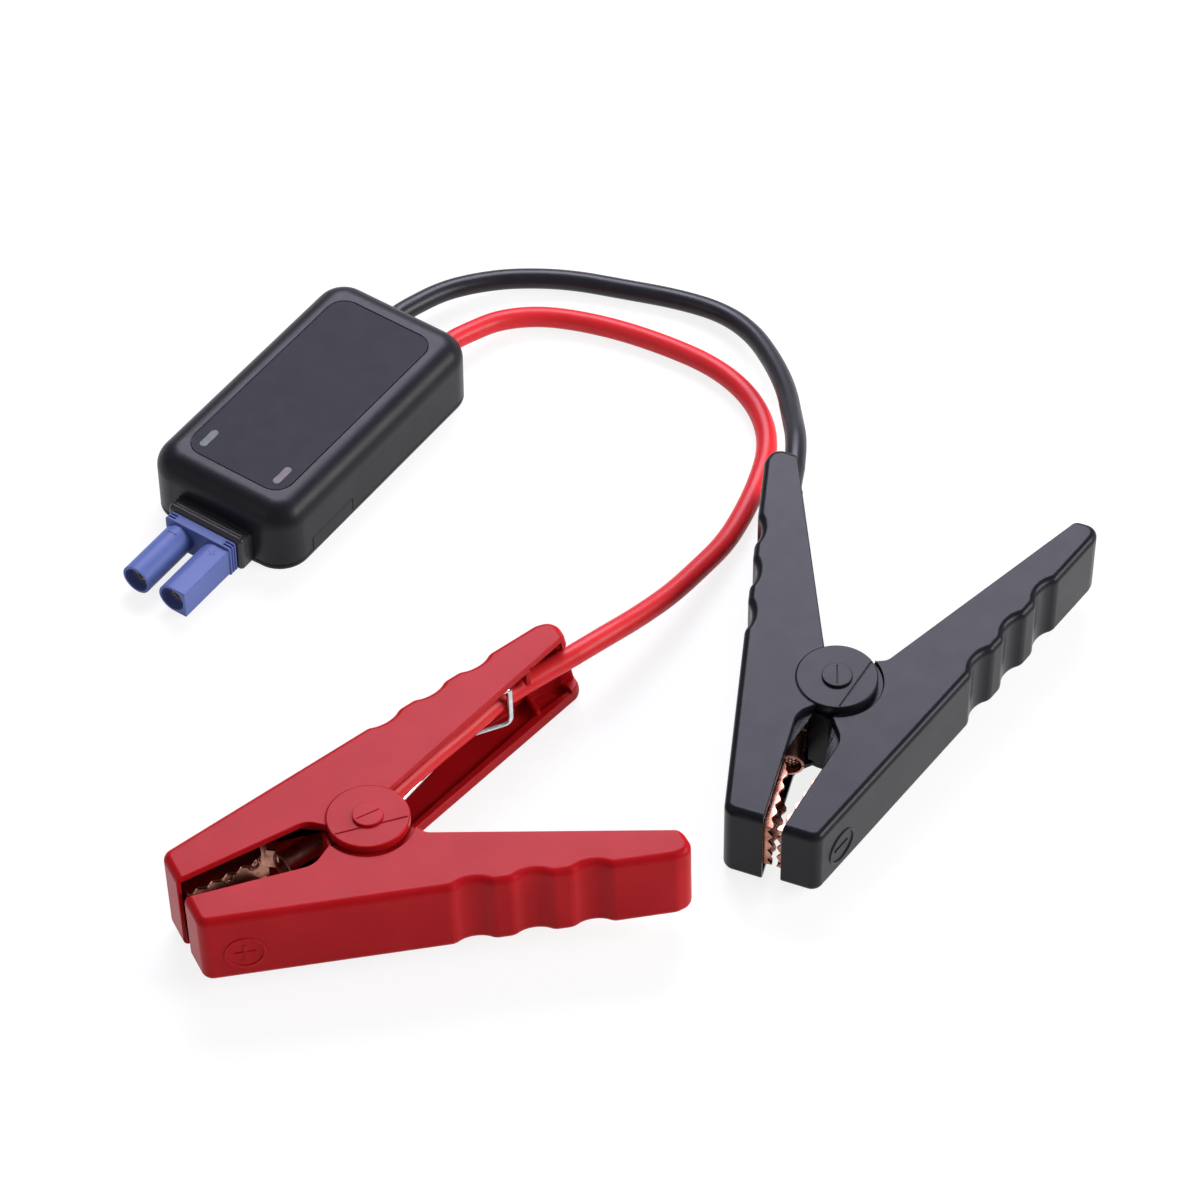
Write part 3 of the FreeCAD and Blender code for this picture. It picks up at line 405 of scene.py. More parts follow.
def meshObject(shape, name, finish, angle):
    # Smooth faces, with a sharp edge where the surface turns by more than the angle
    for face in shape.faces:
        face.smooth = True
    for edge in shape.edges:
        if len(edge.link_faces) != 2 or edge.calc_face_angle(0.0) > math.radians(angle):
            edge.smooth = False
    mesh = bpy.data.meshes.new(name)
    shape.to_mesh(mesh)
    shape.free()
    mesh.materials.append(finishes[finish])
    piece = bpy.data.objects.new(name, mesh)
    bpy.context.collection.objects.link(piece)
    return piece


def addPiece(shape, name, slot, body, nodes=(), bevel=0.0, angle=35.0, finish=None):
    piece = meshObject(shape, name, finish or slot, angle)
    if bevel:
        rounding = piece.modifiers.new("rounded edges", "BEVEL")
        rounding.width = bevel
        rounding.segments = 2
        rounding.limit_method = "ANGLE"
        rounding.angle_limit = math.radians(angle)
        rounding.use_clamp_overlap = False
        rounding.harden_normals = True
        rounding.miter_outer = "MITER_ARC"
    flatness = piece.modifiers.new("flat faces stay flat", "WEIGHTED_NORMAL")
    flatness.keep_sharp = True
    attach(piece, body)
    if nodes:
        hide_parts(*nodes)
    return piece


def mergedCopy(node):
    # The CAD's triangles, joined into larger flat faces
    shape = bmesh.new()
    shape.from_mesh(frame["nodes"][node].data)
    bmesh.ops.remove_doubles(shape, verts=shape.verts, dist=merging["distance"])
    bmesh.ops.dissolve_limit(shape, angle_limit=math.radians(merging["flatAngle"]), verts=shape.verts,
                             edges=shape.edges)
    return shape


def placed(shape, matrix):
    bmesh.ops.transform(shape, matrix=matrix, verts=shape.verts)
    return shape


def roundEdges(shape, edges, offset, segments=3):
    bmesh.ops.bevel(shape, geom=edges, offset=offset, segments=segments, profile=0.5,
                    affect="EDGES", material=-1)
    return shape


def extruded(shape, low, high):
    # A flat outline, stood at the low height and drawn up to the high one
    bmesh.ops.translate(shape, verts=shape.verts, vec=(0.0, 0.0, low))
    raised = bmesh.ops.extrude_face_region(shape, geom=shape.faces[:])["geom"]
    bmesh.ops.translate(shape, verts=[v for v in raised if isinstance(v, bmesh.types.BMVert)],
                        vec=(0.0, 0.0, high - low))
    bmesh.ops.recalc_face_normals(shape, faces=shape.faces)
    return shape


def prism(corners, low, high, steps=6):
    # A plan outline of (x, y, round) corners, each rounded by a vertex bevel, then extruded
    shape = bmesh.new()
    points = [Vector((x, y, 0.0)) for x, y, r in corners]
    verts = [shape.verts.new(point) for point in points]
    shape.faces.new(verts)
    for i, (x, y, r) in enumerate(corners):
        if r > 0:
            turn = (points[i] - points[i - 1]).angle(points[(i + 1) % len(points)] - points[i])
            bmesh.ops.bevel(shape, geom=[verts[i]], offset=r * math.tan(turn / 2), offset_type="ABSOLUTE",
                            segments=steps, profile=0.5, affect="VERTICES", material=-1)
    return extruded(shape, low, high)


def disc(radius, low, high, at=(0.0, 0.0), sides=72, edge=0.0):
    shape = bmesh.new()
    bmesh.ops.create_cone(shape, cap_ends=True, segments=sides, radius1=radius, radius2=radius,
                          depth=high - low, matrix=Matrix.Translation((*at, (low + high) / 2)))
    if edge:
        roundEdges(shape, [e for e in shape.edges if abs(e.verts[0].co.z - e.verts[1].co.z) < tiny], edge)
    return shape


def block(x0, y0, z0, x1, y1, z1, edge=0.0):
    shape = bmesh.new()
    middle = Matrix.Translation(((x0 + x1) / 2, (y0 + y1) / 2, (z0 + z1) / 2))
    size = Matrix.Diagonal((x1 - x0, y1 - y0, z1 - z0, 1.0))
    bmesh.ops.create_cube(shape, size=1.0, matrix=middle @ size)
    if edge:
        roundEdges(shape, shape.edges[:], edge)
    return shape


def spunRing(radius, lift, wire, sides, steps):
    # A round wire swept once round Z
    ring = bmesh.new()
    start = Matrix.Translation((radius, 0.0, lift)) @ Matrix.Rotation(math.radians(90.0), 4, "X")
    bmesh.ops.create_circle(ring, cap_ends=False, segments=sides, radius=wire, matrix=start)
    bmesh.ops.spin(ring, geom=ring.verts[:] + ring.edges[:], cent=(0.0, 0.0, 0.0), axis=(0.0, 0.0, 1.0),
                   angle=2 * math.pi, steps=steps, use_merge=True)
    bmesh.ops.recalc_face_normals(ring, faces=ring.faces)
    return ring


def standIn(shape):
    mesh = bpy.data.meshes.new("work")
    shape.to_mesh(mesh)
    shape.free()
    work = bpy.data.objects.new("work", mesh)
    bpy.context.collection.objects.link(work)
    return work


def carve(shape, tool, how="DIFFERENCE"):
    # Exact boolean of two closed shapes; both are used up
    work, cutter = standIn(shape), standIn(tool)
    step = work.modifiers.new("carve", "BOOLEAN")
    step.object = cutter
    step.operation = how
    step.solver = "EXACT"
    graph = bpy.context.evaluated_depsgraph_get()
    result = bpy.data.meshes.new_from_object(work.evaluated_get(graph))
    shape = bmesh.new()
    shape.from_mesh(result)
    for leftOver in (work, cutter):
        mesh = leftOver.data
        bpy.data.objects.remove(leftOver)
        bpy.data.meshes.remove(mesh)
    bpy.data.meshes.remove(result)
    bmesh.ops.remove_doubles(shape, verts=shape.verts, dist=carvedSpot)
    return shape


def joinShapes(shapes):
    whole = bmesh.new()
    for shape in shapes:
        mesh = bpy.data.meshes.new("part")
        shape.to_mesh(mesh)
        shape.free()
        whole.from_mesh(mesh)
        bpy.data.meshes.remove(mesh)
    return whole


# The case and the plug: the CAD's own pieces with their edges rounded, by so many metres
roundings = {
    "upper_shell": 0.0003, "lower_shell": 0.00025, "label_panel": 0.0,
    "plug_housing": 0.00018, "plug_contact_positive": 0.00012, "plug_contact_negative": 0.00012,
    "case_screws": 0.00015, "window_start": 0.0001, "window_error": 0.0001,
}
for node, bevel in roundings.items():
    addPiece(mergedCopy(node), node + "_finished", slotOf[node], "base", [node], bevel,
             finish="case_plastic" if node in casePieces else None)

# The moulded sleeve round the case's nose, and the raised polarity signs on the plug
sleeveSpec = {
    "front": -54.97, "back": -49.2, "halfWidth": 14.05, "low": 0.22, "top": 13.15, "round": 1.5,
    "roundSteps": 5, "wall": 0.14, "lines": (-52.9, -51.7, -50.5), "lineWidth": 0.5, "lineDepth": 0.13,
    "creaseAngle": 28.0,
}
signSpecs = {
    "plug_sign_plus": {"place": (-61.5, -8.2), "bars": ((2.4, 0.55), (0.55, 2.4))},
    "plug_sign_minus": {"place": (-61.5, 6.9), "bars": ((0.6, 2.6),)},
}
signSize = {"top": 11.32, "height": 0.4, "step": 0.01, "edge": 0.00008}


def noseSleeve(spec):
    shape = block(spec["front"], -spec["halfWidth"], spec["low"], spec["back"], spec["halfWidth"], spec["top"])
    middle, height = (spec["front"] + spec["back"]) / 2, (spec["low"] + spec["top"]) / 2
    roundEdges(shape, [edge for edge in shape.edges if min(vert.co.x for vert in edge.verts) < middle],
               spec["round"], spec["roundSteps"])
    # Open at both ends
    shape.normal_update()
    bmesh.ops.delete(shape, geom=[face for face in shape.faces if abs(face.normal.x) > 0.99], context="FACES")
    for line in spec["lines"]:
        for offset in (-spec["lineWidth"] / 2, 0, spec["lineWidth"] / 2):
            bmesh.ops.bisect_plane(shape, geom=shape.verts[:] + shape.edges[:] + shape.faces[:], dist=tiny,
                                   plane_co=(line + offset, 0, 0), plane_no=(1, 0, 0))
        for vert in shape.verts:
            if abs(vert.co.x - line) < tiny:
                vert.co.y -= math.copysign(spec["lineDepth"], vert.co.y)
                vert.co.z -= math.copysign(spec["lineDepth"], vert.co.z - height)
    return placed(shape, Matrix.Scale(mm, 4))


def plugSign(spec, size):
    x, y = spec["place"]
    bars = []
    for lift, (long, wide) in enumerate(spec["bars"]):
        top = size["top"] - size["step"] * lift
        bars.append(block(x - long / 2, y - wide / 2, top - size["height"], x + long / 2, y + wide / 2, top))
    return placed(joinShapes(bars), Matrix.Scale(mm, 4))


# The sleeve's finish is a paler copy of the black plastic, as painted light
sleeve = addPiece(noseSleeve(sleeveSpec), "nose_sleeve", "black_plastic", "base",
                  angle=sleeveSpec["creaseAngle"], finish="sleeve_painted_light_plastic")
sleeveWall = sleeve.modifiers.new("wall", "SOLIDIFY")
sleeveWall.thickness = sleeveSpec["wall"] * mm
sleeveWall.offset = -1.0
for name, spec in signSpecs.items():
    addPiece(plugSign(spec, signSize), name, "plug_blue", "base", bevel=signSize["edge"])
print("case and plug finished")

# Clamps. Each piece is drawn with the pivot at the origin, +X to the handles' ends and the cable's
# handle on +Y. The free handle and its jaw are drawn on +Y too and then mirrored.
clamps = {
    "red": {
        "place": (-0.1317, -0.1199, 0.016707), "turn": (-3.4, 0.0, -30.35), "plus": True,
        "chord": (-7.7, 3.8), "slit": 5.0, "cable": {"end": 80.4, "firstGroove": 14.0},
        "free": {"end": 78.2, "firstGroove": 11.0},
    },
    "black": {
        "place": (-0.0109, -0.1994, 0.015796), "turn": (0.0, -1.4, 13.0), "plus": False,
        "chord": (-9.0, 6.0), "slit": 20.0, "cable": {"end": 79.8, "firstGroove": 8.4},
        "free": {"end": 85.5, "firstGroove": 17.0},
    },
}
handles = {
    "cable": {
        "backAngle": 15.3, "backOffset": 28.33, "bellyAngle": 25.7, "bellyOffset": 2.6, "half": 14.0,
        "plate": 2.2, "noseX": -57.5, "mouth": 1.8, "slant": 5.0, "grooveDepth": 1.5, "toothEdge": -0.8,
        "toothAngle": 8.0, "lip": True,
        "throat": [(6.0, 5.6, 0.0), (-11.0, 1.6, 0.0), (-16.3, 6.4, 5.0)],
    },
    "free": {
        "backAngle": 15.5, "backOffset": 29.78, "bellyAngle": 25.7, "bellyOffset": 4.5, "half": 12.4,
        "plate": 2.2, "noseX": -57.5, "mouth": 3.8, "slant": 0.0, "grooveDepth": 1.9, "toothEdge": 1.2,
        "toothAngle": 9.2, "lip": False,
        "throat": [(12.8, 11.1, 3.5), (10.6, 6.6, 0.0), (-8.0, 2.5, 0.0), (-13.4, 3.4, 0.8), (-20.3, 8.6, 6.0)],
    },
}
grip = {
    "far": -40.0, "rim": 2.3, "rimSteps": 6, "outlineSteps": 9, "noseCorner": 3.5, "shoulder": 6.0,
    "shoulderRound": 5.0, "endFace": 7.5, "endCorner": 4.2, "groovePitch": 16.3, "grooves": 3,
    "grooveWidth": 10.9, "grooveSink": 1.8, "ridgeRound": 4.0, "valleyRound": 0.78, "slantReach": 14.0,
    "backWall": 3.5, "noseWall": 1.4, "endWall": 2.2, "hollowBend": 2.0, "hollowRounds": (1.5, 6.0, 3.0),
    "bellyCorner": 4.0, "bellyLean": 0.4, "beyond": 9.0, "past": 3.0,
}
lip = {"from": 16.0, "end": 1.0, "width": 2.0, "under": 3.0, "round": 1.0, "height": 1.3, "bite": 0.5}
cableWay = {"inside": 3.0, "outside": 6.0, "from": 20.0, "back": 5.5, "low": -9.4, "top": 8.2}
# The ribs that hold the cable: start, stop, height over the belly line, far side, free edge
cableRibs = ((64.4, 66.2, 0.6, 44.5, 5.6), (68.0, 69.3, 1.0, 46.5, -8.6))
throatWeb = [(-27.6, 7.9, 0.0), (-20.3, 8.8, 6.0), (-13.5, 3.5, 3.0), (-12.9, -4.0, 0.0),
             (-11.9, -4.0, 0.0), (-12.3, 4.4, 2.0), (-20.0, 10.4, 4.6), (-27.6, 9.6, 0.0)]
thinBite = 0.4
hub = {"radius": 12.0, "low": 11.8, "top": 14.5, "edge": 0.45, "trough": 13.6, "troughFloor": 11.4,
       "ear": 11.5, "earThickness": 2.4, "pin": 2.95, "stud": 0.85, "through": 30.0}
chordLine = {"half": 0.035, "depth": 0.06, "fromRim": 0.9, "over": 1.0}
pin = {"core": 2.9, "head": 4.5, "edge": 0.3, "slit": 3.6, "slitHalf": 0.16, "slitLow": -0.28, "slitTop": 0.6}
badge = {"ring": 5.6, "wire": 0.42, "bar": 3.1, "barHalf": 0.42, "low": -0.3, "top": 0.34, "edge": 0.14,
         "along": -46.0, "sink": 0.05, "drop": -2.0}
# The jaws, rivets and barrels, with X along the teeth and Y into the handle
jaw = {"start": 2.6, "end": 31.5, "depth": 7.0, "sheet": 1.0, "half": 8.5, "outerFold": 1.6, "innerFold": 0.8,
       "flangeEnd": 23.0, "slope": 6.0, "slopeRound": 2.0, "foot": (1.6, 2.2, 3.0), "pitch": 4.8, "waves": 6,
       "wave": 1.1, "waveSteps": 12, "frontTeeth": 4, "frontDepth": 1.5, "front": (9.0, 30.0), "past": 1.0,
       "below": 3.0, "seat": 2.0, "rivets": (18.5, 27.0)}
seat = {"start": 2.0, "end": 30.0, "bite": 0.5, "window": (21.7, 31.0), "windowHalf": 3.8, "windowDepth": 20.0}
eyelet = {"curl": 1.55, "lift": 0.05, "wire": 0.62, "shank": 1.5, "shankTop": 0.12, "tail": 2.0,
          "tailHeight": 0.8, "tailEdge": 0.25, "sides": 28}
barrel = {"axis": 1.5, "start": 33.0, "tilt": 8.5, "wall": 0.85, "sides": 40, "seam": 0.35,
          "steps": [(0.0, 4.35), (0.8, 4.2), (2.6, 4.2), (3.4, 3.95), (6.0, 3.95), (6.8, 4.2), (11.6, 4.2),
                    (12.5, 4.4)],
          "tongue": 1.2, "tongueStart": 22.0, "tongueHalf": 3.5, "tongueIn": 0.6, "tongueDrop": 4.15,
          "tongueBend": 1.6, "strand": 0.62, "strandRings": (1, 6, 12), "strandFrom": 1.7, "ringStep": 0.15,
          "strandTo": 6.5, "strandEdge": 0.18}
springSpec = {
    "wire": 1.9, "radius": 7.0, "top": 8.0, "coilEnd": 4.25, "tip": (36.0, -34.77), "bend": (42.5, 32.5),
    "beforeBend": 6.0, "afterBend": 2.5, "bridge": (58.4, 33.1),
    "above": {"arm": 7.8, "bridge": 9.0, "corner": 4.0}, "below": {"arm": 3.6, "bridge": 4.9, "corner": 5.5},
}
heldCable = [(84.2, 43.3, 2.42), (70.0, 40.3, 2.2), (56.5, 37.45, 1.2), (44.0, 31.0, 1.2), (28.0, 24.2, 1.2),
             (12.0, 16.6, 0.6), (-1.5, 11.6, 0.0), (-12.5, 8.4, 0.0), (-21.0, 5.8, 0.0)]
# How far the edges of the moulded, the pressed and the turned pieces are rounded, in metres
moulded, pressed, turned = 0.0003, 0.00012, 0.0001


def clampMatrix(spec):
    roll, pitch, yaw = (math.radians(angle) for angle in spec["turn"])
    turn = Matrix.Rotation(yaw, 4, "Z") @ Matrix.Rotation(pitch, 4, "Y") @ Matrix.Rotation(roll, 4, "X")
    return Matrix.Translation(spec["place"]) @ turn @ Matrix.Scale(mm, 4)


def jawMatrix(side):
    return (Matrix.Translation((side["noseX"], side["toothEdge"], 0.0))
            @ Matrix.Rotation(math.radians(side["toothAngle"]), 4, "Z"))


def mirrored(shape, matrix):
    # Drawn on +Y, turned over to the lever's side and then placed
    bmesh.ops.scale(shape, verts=shape.verts, vec=(1.0, -1.0, 1.0))
    bmesh.ops.recalc_face_normals(shape, faces=shape.faces)
    return placed(shape, matrix)


def backAt(side, x, inset=0.0):
    angle = math.radians(side["backAngle"])
    return (side["backOffset"] - inset) / math.cos(angle) + math.tan(angle) * x


def bellyAt(side, x):
    angle = math.radians(side["bellyAngle"])
    return side["bellyOffset"] / math.cos(angle) + math.tan(angle) * x


def gripCorners(side, spec):
    # Along the back: round finger valleys with a short straight land between them
    angle = math.radians(side["backAngle"])
    half, deep = spec["grooveWidth"] / 2, spec["grooveSink"] * side["grooveDepth"]
    valleyRound = spec["valleyRound"] * math.hypot(half, deep) * half / deep
    corners = []
    for i in range(spec["grooves"]):
        start = side["firstGroove"] + i * spec["groovePitch"]
        middle, last = start + half, start + 2 * half
        valley = (middle + deep * math.sin(angle), backAt(side, middle) - deep * math.cos(angle), valleyRound)
        corners += [(start, backAt(side, start), spec["ridgeRound"]), valley,
                    (last, backAt(side, last), spec["ridgeRound"])]
    return corners


def slantEnd(shape, side, reach):
    # The end leans out towards the lower plate
    for vert in shape.verts:
        share = min(max((vert.co.x - side["end"] + reach) / reach, 0.0), 1.0)
        vert.co.x += side["slant"] * share * share * (side["half"] - vert.co.z) / (2 * side["half"])


def handleShape(side, spec):
    # The outer form, rounded all round, then hollowed and cut along the belly
    end, half, nose, far = side["end"], side["half"], side["noseX"], spec["far"]
    bend = end - spec["shoulder"]
    corners = [(nose, far, 0.0), (nose, backAt(side, nose), spec["noseCorner"])] + gripCorners(side, spec)
    corners += [(bend, backAt(side, bend), spec["shoulderRound"]),
                (end, bellyAt(side, end) + spec["endFace"], spec["endCorner"]), (end, far, 0.0)]
    shape = prism(corners, -half, half, spec["outlineSteps"])
    rims = [e for e in shape.edges if all(abs(abs(v.co.z) - half) < tiny for v in e.verts)
            and abs(e.verts[0].co.z - e.verts[1].co.z) < tiny]
    roundEdges(shape, rims, spec["rim"], spec["rimSteps"])
    inner = half - side["plate"]
    bend -= spec["hollowBend"]
    x0, x1 = nose + spec["noseWall"], end - spec["endWall"]
    back = backAt(side, bend, spec["backWall"])
    noseRound, bendRound, endRound = spec["hollowRounds"]
    shape = carve(shape, prism([(x0, far, 0.0), (x0, backAt(side, x0, spec["backWall"]), noseRound),
                                (bend, back, bendRound), (x1, back, endRound), (x1, far, 0.0)], -inner, inner))
    if side["lip"]:
        # A low lip along the lower plate's open edge
        x0, x1 = lip["from"], end - lip["end"]
        y0, y1 = bellyAt(side, x0), bellyAt(side, x1)
        shape = carve(shape, prism([(x0, y0 - lip["under"], 0.0), (x0, y0 + lip["width"], lip["round"]),
                                    (x1, y1 + lip["width"], 0.0), (x1, y1 - lip["under"], 0.0)],
                                   -inner - lip["bite"], lip["height"] - inner), "UNION")
    beyond, past = spec["beyond"], spec["past"]
    tip = side["throat"][-1]
    rise = (tip[1] - side["mouth"]) / (tip[0] - nose)
    belly = [(nose - beyond, far - beyond, 0.0), (nose - beyond, side["mouth"] - beyond * rise, 0.0)]
    belly += side["throat"][::-1]
    high = bellyAt(side, end) + beyond
    belly += [(end, bellyAt(side, end), spec["bellyCorner"]), (end + spec["bellyLean"], high, 0.0),
              (end + beyond, high, 0.0), (end + beyond, far - beyond, 0.0)]
    return carve(shape, prism(belly, -half - past, half + past))


def waveCutter(x0, x1, depth, pitch, reach, steps):
    # Everything below a waved line, along X, to cut teeth with; two steps to a wave make it sharp
    shape = bmesh.new()
    outline = ((x0, -jaw["below"]), (x1, -jaw["below"]), (x1, 0.0), (x0, 0.0))
    shape.faces.new([shape.verts.new((x, y, 0.0)) for x, y in outline])
    waved = [edge for edge in shape.edges if all(abs(v.co.y) < tiny for v in edge.verts)]
    count = round((x1 - x0) / pitch * steps)
    bmesh.ops.subdivide_edges(shape, edges=waved, cuts=count - 1, use_grid_fill=False)
    for vert in shape.verts:
        if abs(vert.co.y) < tiny:
            swing = math.cos(2 * math.pi * (vert.co.x - x0) / pitch)
            vert.co.y = depth * (0.5 - 0.5 * swing)
    return extruded(shape, -reach, reach)


def foldedBox(x0, y0, x1, y1, half, fold, steps):
    # A box with its two long back edges folded round
    shape = block(x0, y0, -half, x1, y1, half)
    folds = [e for e in shape.edges if all(v.co.y > y1 - tiny for v in e.verts)
             and abs(e.verts[0].co.x - e.verts[1].co.x) > tiny]
    return roundEdges(shape, folds, fold, steps)


def jawShape(spec):
    start, end, depth, sheet, half, past = (
        spec[key] for key in ("start", "end", "depth", "sheet", "half", "past"))
    inside = start + sheet
    shape = foldedBox(start, 0.0, end, depth + sheet, half, spec["outerFold"], 5)
    shape = carve(shape, foldedBox(inside, -past, end + past, depth, half - sheet, spec["innerFold"], 4))
    # The flanges stop short of the sheet's end, in a slope with a rounded foot
    top = spec["flangeEnd"] + spec["slope"]
    back, foot, footRound = spec["foot"]
    slope = [(spec["flangeEnd"], -past, 0.0), (end + past, -past, 0.0), (end + past, depth, 0.0),
             (top, depth, spec["slopeRound"]), (top - back, foot, footRound)]
    shape = carve(shape, prism(slope, -half - past, half + past))
    shape = carve(shape, waveCutter(inside, inside + spec["waves"] * spec["pitch"], spec["wave"], spec["pitch"],
                                    half + past, spec["waveSteps"]))
    teeth = waveCutter(-half, half, spec["frontDepth"], 2 * half / spec["frontTeeth"], 2 * sheet, 2)
    placed(teeth, Matrix.Translation((start, 0.0, 0.0)) @ Matrix.Rotation(math.radians(-90.0), 4, "Y"))
    long, wide = spec["front"]
    teeth = carve(teeth, block(inside, -long, -wide, start + long, long, wide))
    return carve(shape, teeth)


def rivetShape(spec, x, stack):
    # A rolled eyelet on the jaw's inside, and its shank through the stack
    low, sides = jaw["depth"] - stack, spec["sides"]
    curl = spunRing(spec["curl"], spec["lift"], spec["wire"], 12, sides)
    shank = disc(spec["shank"], low - spec["tailHeight"], spec["shankTop"], sides=sides)
    tail = disc(spec["tail"], low - spec["tailHeight"], low, sides=sides, edge=spec["tailEdge"])
    turn = Matrix.Translation((x, jaw["depth"], 0.0)) @ Matrix.Rotation(math.radians(90.0), 4, "X")
    return placed(joinShapes([curl, shank, tail]), turn)


def barrelShape(spec):
    # A rolled tube with a pressed waist, open along a seam, with the cable's strands in it
    tube = bmesh.new()
    place, radius = spec["steps"][0]
    bmesh.ops.create_circle(tube, cap_ends=False, segments=spec["sides"], radius=radius)
    loop = tube.edges[:]
    for nextPlace, nextRadius in spec["steps"][1:]:
        grown = bmesh.ops.extrude_edge_only(tube, edges=loop)["geom"]
        verts = [v for v in grown if isinstance(v, bmesh.types.BMVert)]
        loop = [e for e in grown if isinstance(e, bmesh.types.BMEdge)]
        bmesh.ops.translate(tube, verts=verts, vec=(0.0, 0.0, nextPlace - place))
        ratio = nextRadius / radius
        bmesh.ops.scale(tube, verts=verts, vec=(ratio, ratio, 1.0))
        place, radius = nextPlace, nextRadius
    bmesh.ops.recalc_face_normals(tube, faces=tube.faces)
    bmesh.ops.solidify(tube, geom=tube.faces[:], thickness=spec["wall"])
    bmesh.ops.recalc_face_normals(tube, faces=tube.faces)
    pieces = [carve(tube, block(-spec["seam"] / 2, -6.0, -1.0, spec["seam"] / 2, -1.0, 14.0))]
    for ring, count in enumerate(spec["strandRings"]):
        low, away = spec["strandFrom"] + spec["ringStep"] * ring, 2 * ring * spec["strand"]
        for i in range(count):
            around = 2 * math.pi * i / count
            pieces.append(disc(spec["strand"], low, spec["strandTo"], sides=12, edge=spec["strandEdge"],
                               at=(away * math.cos(around), away * math.sin(around))))
    tube = placed(joinShapes(pieces), Matrix.Translation((spec["start"], spec["axis"], 0.0))
                  @ Matrix.Rotation(math.radians(spec["tilt"]), 4, "Z")
                  @ Matrix.Rotation(math.radians(90.0), 4, "Y"))
    # The flat tongue bends down from the jaw's back to the tube
    back = jaw["depth"] + jaw["sheet"]
    top = back + spec["tongue"]
    tongue = block(spec["tongueStart"], back, -spec["tongueHalf"], spec["start"] + spec["tongueIn"], top,
                   spec["tongueHalf"])
    long = [e for e in tongue.edges if abs(e.verts[0].co.x - e.verts[1].co.x) > tiny]
    bmesh.ops.subdivide_edges(tongue, edges=long, cuts=1, use_grid_fill=True)
    for vert in tongue.verts:
        if vert.co.x > spec["start"]:
            vert.co.y -= top - spec["axis"] - spec["tongueDrop"]
        elif vert.co.x > spec["tongueStart"] + tiny:
            vert.co.x = jaw["end"] - spec["tongueBend"]
    return joinShapes([tube, tongue])


def badgeShape(side, spec, plus):
    # A ring with a polarity sign, moulded proud on the back near the nose
    bar, half, low, top, edge = (spec[key] for key in ("bar", "barHalf", "low", "top", "edge"))
    pieces = [spunRing(spec["ring"], 0.0, spec["wire"], 8, 56), block(-bar, -half, low, bar, half, top, edge)]
    if plus:
        pieces.append(block(-half, -bar, low, half, bar, top, edge))
    turn = (Matrix.Rotation(math.radians(side["backAngle"]), 4, "Z")
            @ Matrix.Rotation(math.radians(-90.0), 4, "X"))
    spot = (spec["along"], backAt(side, spec["along"]) - spec["sink"], spec["drop"])
    return placed(joinShapes(pieces), Matrix.Translation(spot) @ turn)


def seatShape(side, spec, window):
    # The block that the jaw is riveted to
    back = jaw["depth"] + jaw["sheet"]
    reach = side["half"] - side["plate"] + spec["bite"]
    shape = block(spec["start"], back, -reach, spec["end"], back + jaw["seat"], reach)
    if window:
        (start, end), half = spec["window"], spec["windowHalf"]
        shape = carve(shape, block(start, 0.0, -half, end, spec["windowDepth"], half))
    return placed(shape, jawMatrix(side))


def cableHandle(spec, clamp):
    side = dict(handles["cable"], **clamp["cable"])
    shape = carve(handleShape(side, spec), seatShape(side, seat, True), "UNION")
    inner = side["half"] - side["plate"]
    for start, stop, over, far, edge in cableRibs:
        low, high = sorted((edge, math.copysign(inner + thinBite, edge)))
        shape = carve(shape, block(start, bellyAt(side, start) + over, low, stop, far, high), "UNION")
    # The cable's way out between the two returns of the end wall
    end, way = side["end"], cableWay
    shape = carve(shape, block(end - way["inside"], way["from"], way["low"], end + way["outside"],
                               backAt(side, end, way["back"]), way["top"]))
    slantEnd(shape, side, spec["slantReach"])
    for sign in (-1, 1):
        low, high = sorted((sign * hub["low"], sign * hub["top"]))
        shape = carve(shape, disc(hub["radius"], low, high, edge=hub["edge"]), "UNION")
    shape = carve(shape, disc(hub["pin"], -hub["through"], hub["through"], sides=40))
    # A fine line across the hub
    angle, away = clamp["chord"]
    reach = math.sqrt(hub["radius"] ** 2 - away ** 2) - chordLine["fromRim"]
    line = block(-reach, -chordLine["half"], hub["top"] - chordLine["depth"], reach, chordLine["half"],
                 hub["top"] + chordLine["over"])
    turn = Matrix.Rotation(math.radians(angle), 4, "Z") @ Matrix.Translation((0.0, -away, 0.0))
    return carve(shape, placed(line, turn))


def freeHandle(spec, clamp):
    side = dict(handles["free"], **clamp["free"])
    shape = carve(handleShape(side, spec), seatShape(side, seat, False), "UNION")
    # A web closes the throat next to the hub
    reach = side["half"] - side["plate"] + thinBite
    shape = carve(shape, prism(throatWeb, -reach, reach), "UNION")
    for sign in (-1, 1):
        floor = sign * hub["troughFloor"]
        low, high = sorted((sign * (hub["troughFloor"] - hub["earThickness"]), floor))
        shape = carve(shape, disc(hub["ear"], low, high), "UNION")
        low, high = sorted((floor, sign * hub["through"]))
        shape = carve(shape, disc(hub["trough"], low, high))
    return carve(shape, disc(hub["pin"], -hub["through"], hub["through"], sides=40))


def pinShape(spec, slitAngle):
    # The pin's heads are low studs with a moulded slit
    shapes = [disc(spec["core"], -hub["top"], hub["top"], sides=32)]
    rise = hub["top"] + hub["stud"]
    for sign in (-1, 1):
        low, high = sorted((sign * hub["top"], sign * rise))
        head = disc(spec["head"], low, high, sides=48)
        rim = [e for e in head.edges if all(abs(v.co.z) > rise - tiny for v in e.verts)]
        roundEdges(head, rim, spec["edge"])
        slit = block(-spec["slit"], -spec["slitHalf"], spec["slitLow"], spec["slit"], spec["slitHalf"],
                     spec["slitTop"])
        turn = Matrix.Rotation(math.radians(slitAngle), 4, "Z") @ Matrix.Translation((0.0, 0.0, sign * rise))
        shapes.append(carve(head, placed(slit, turn)))
    return joinShapes(shapes)


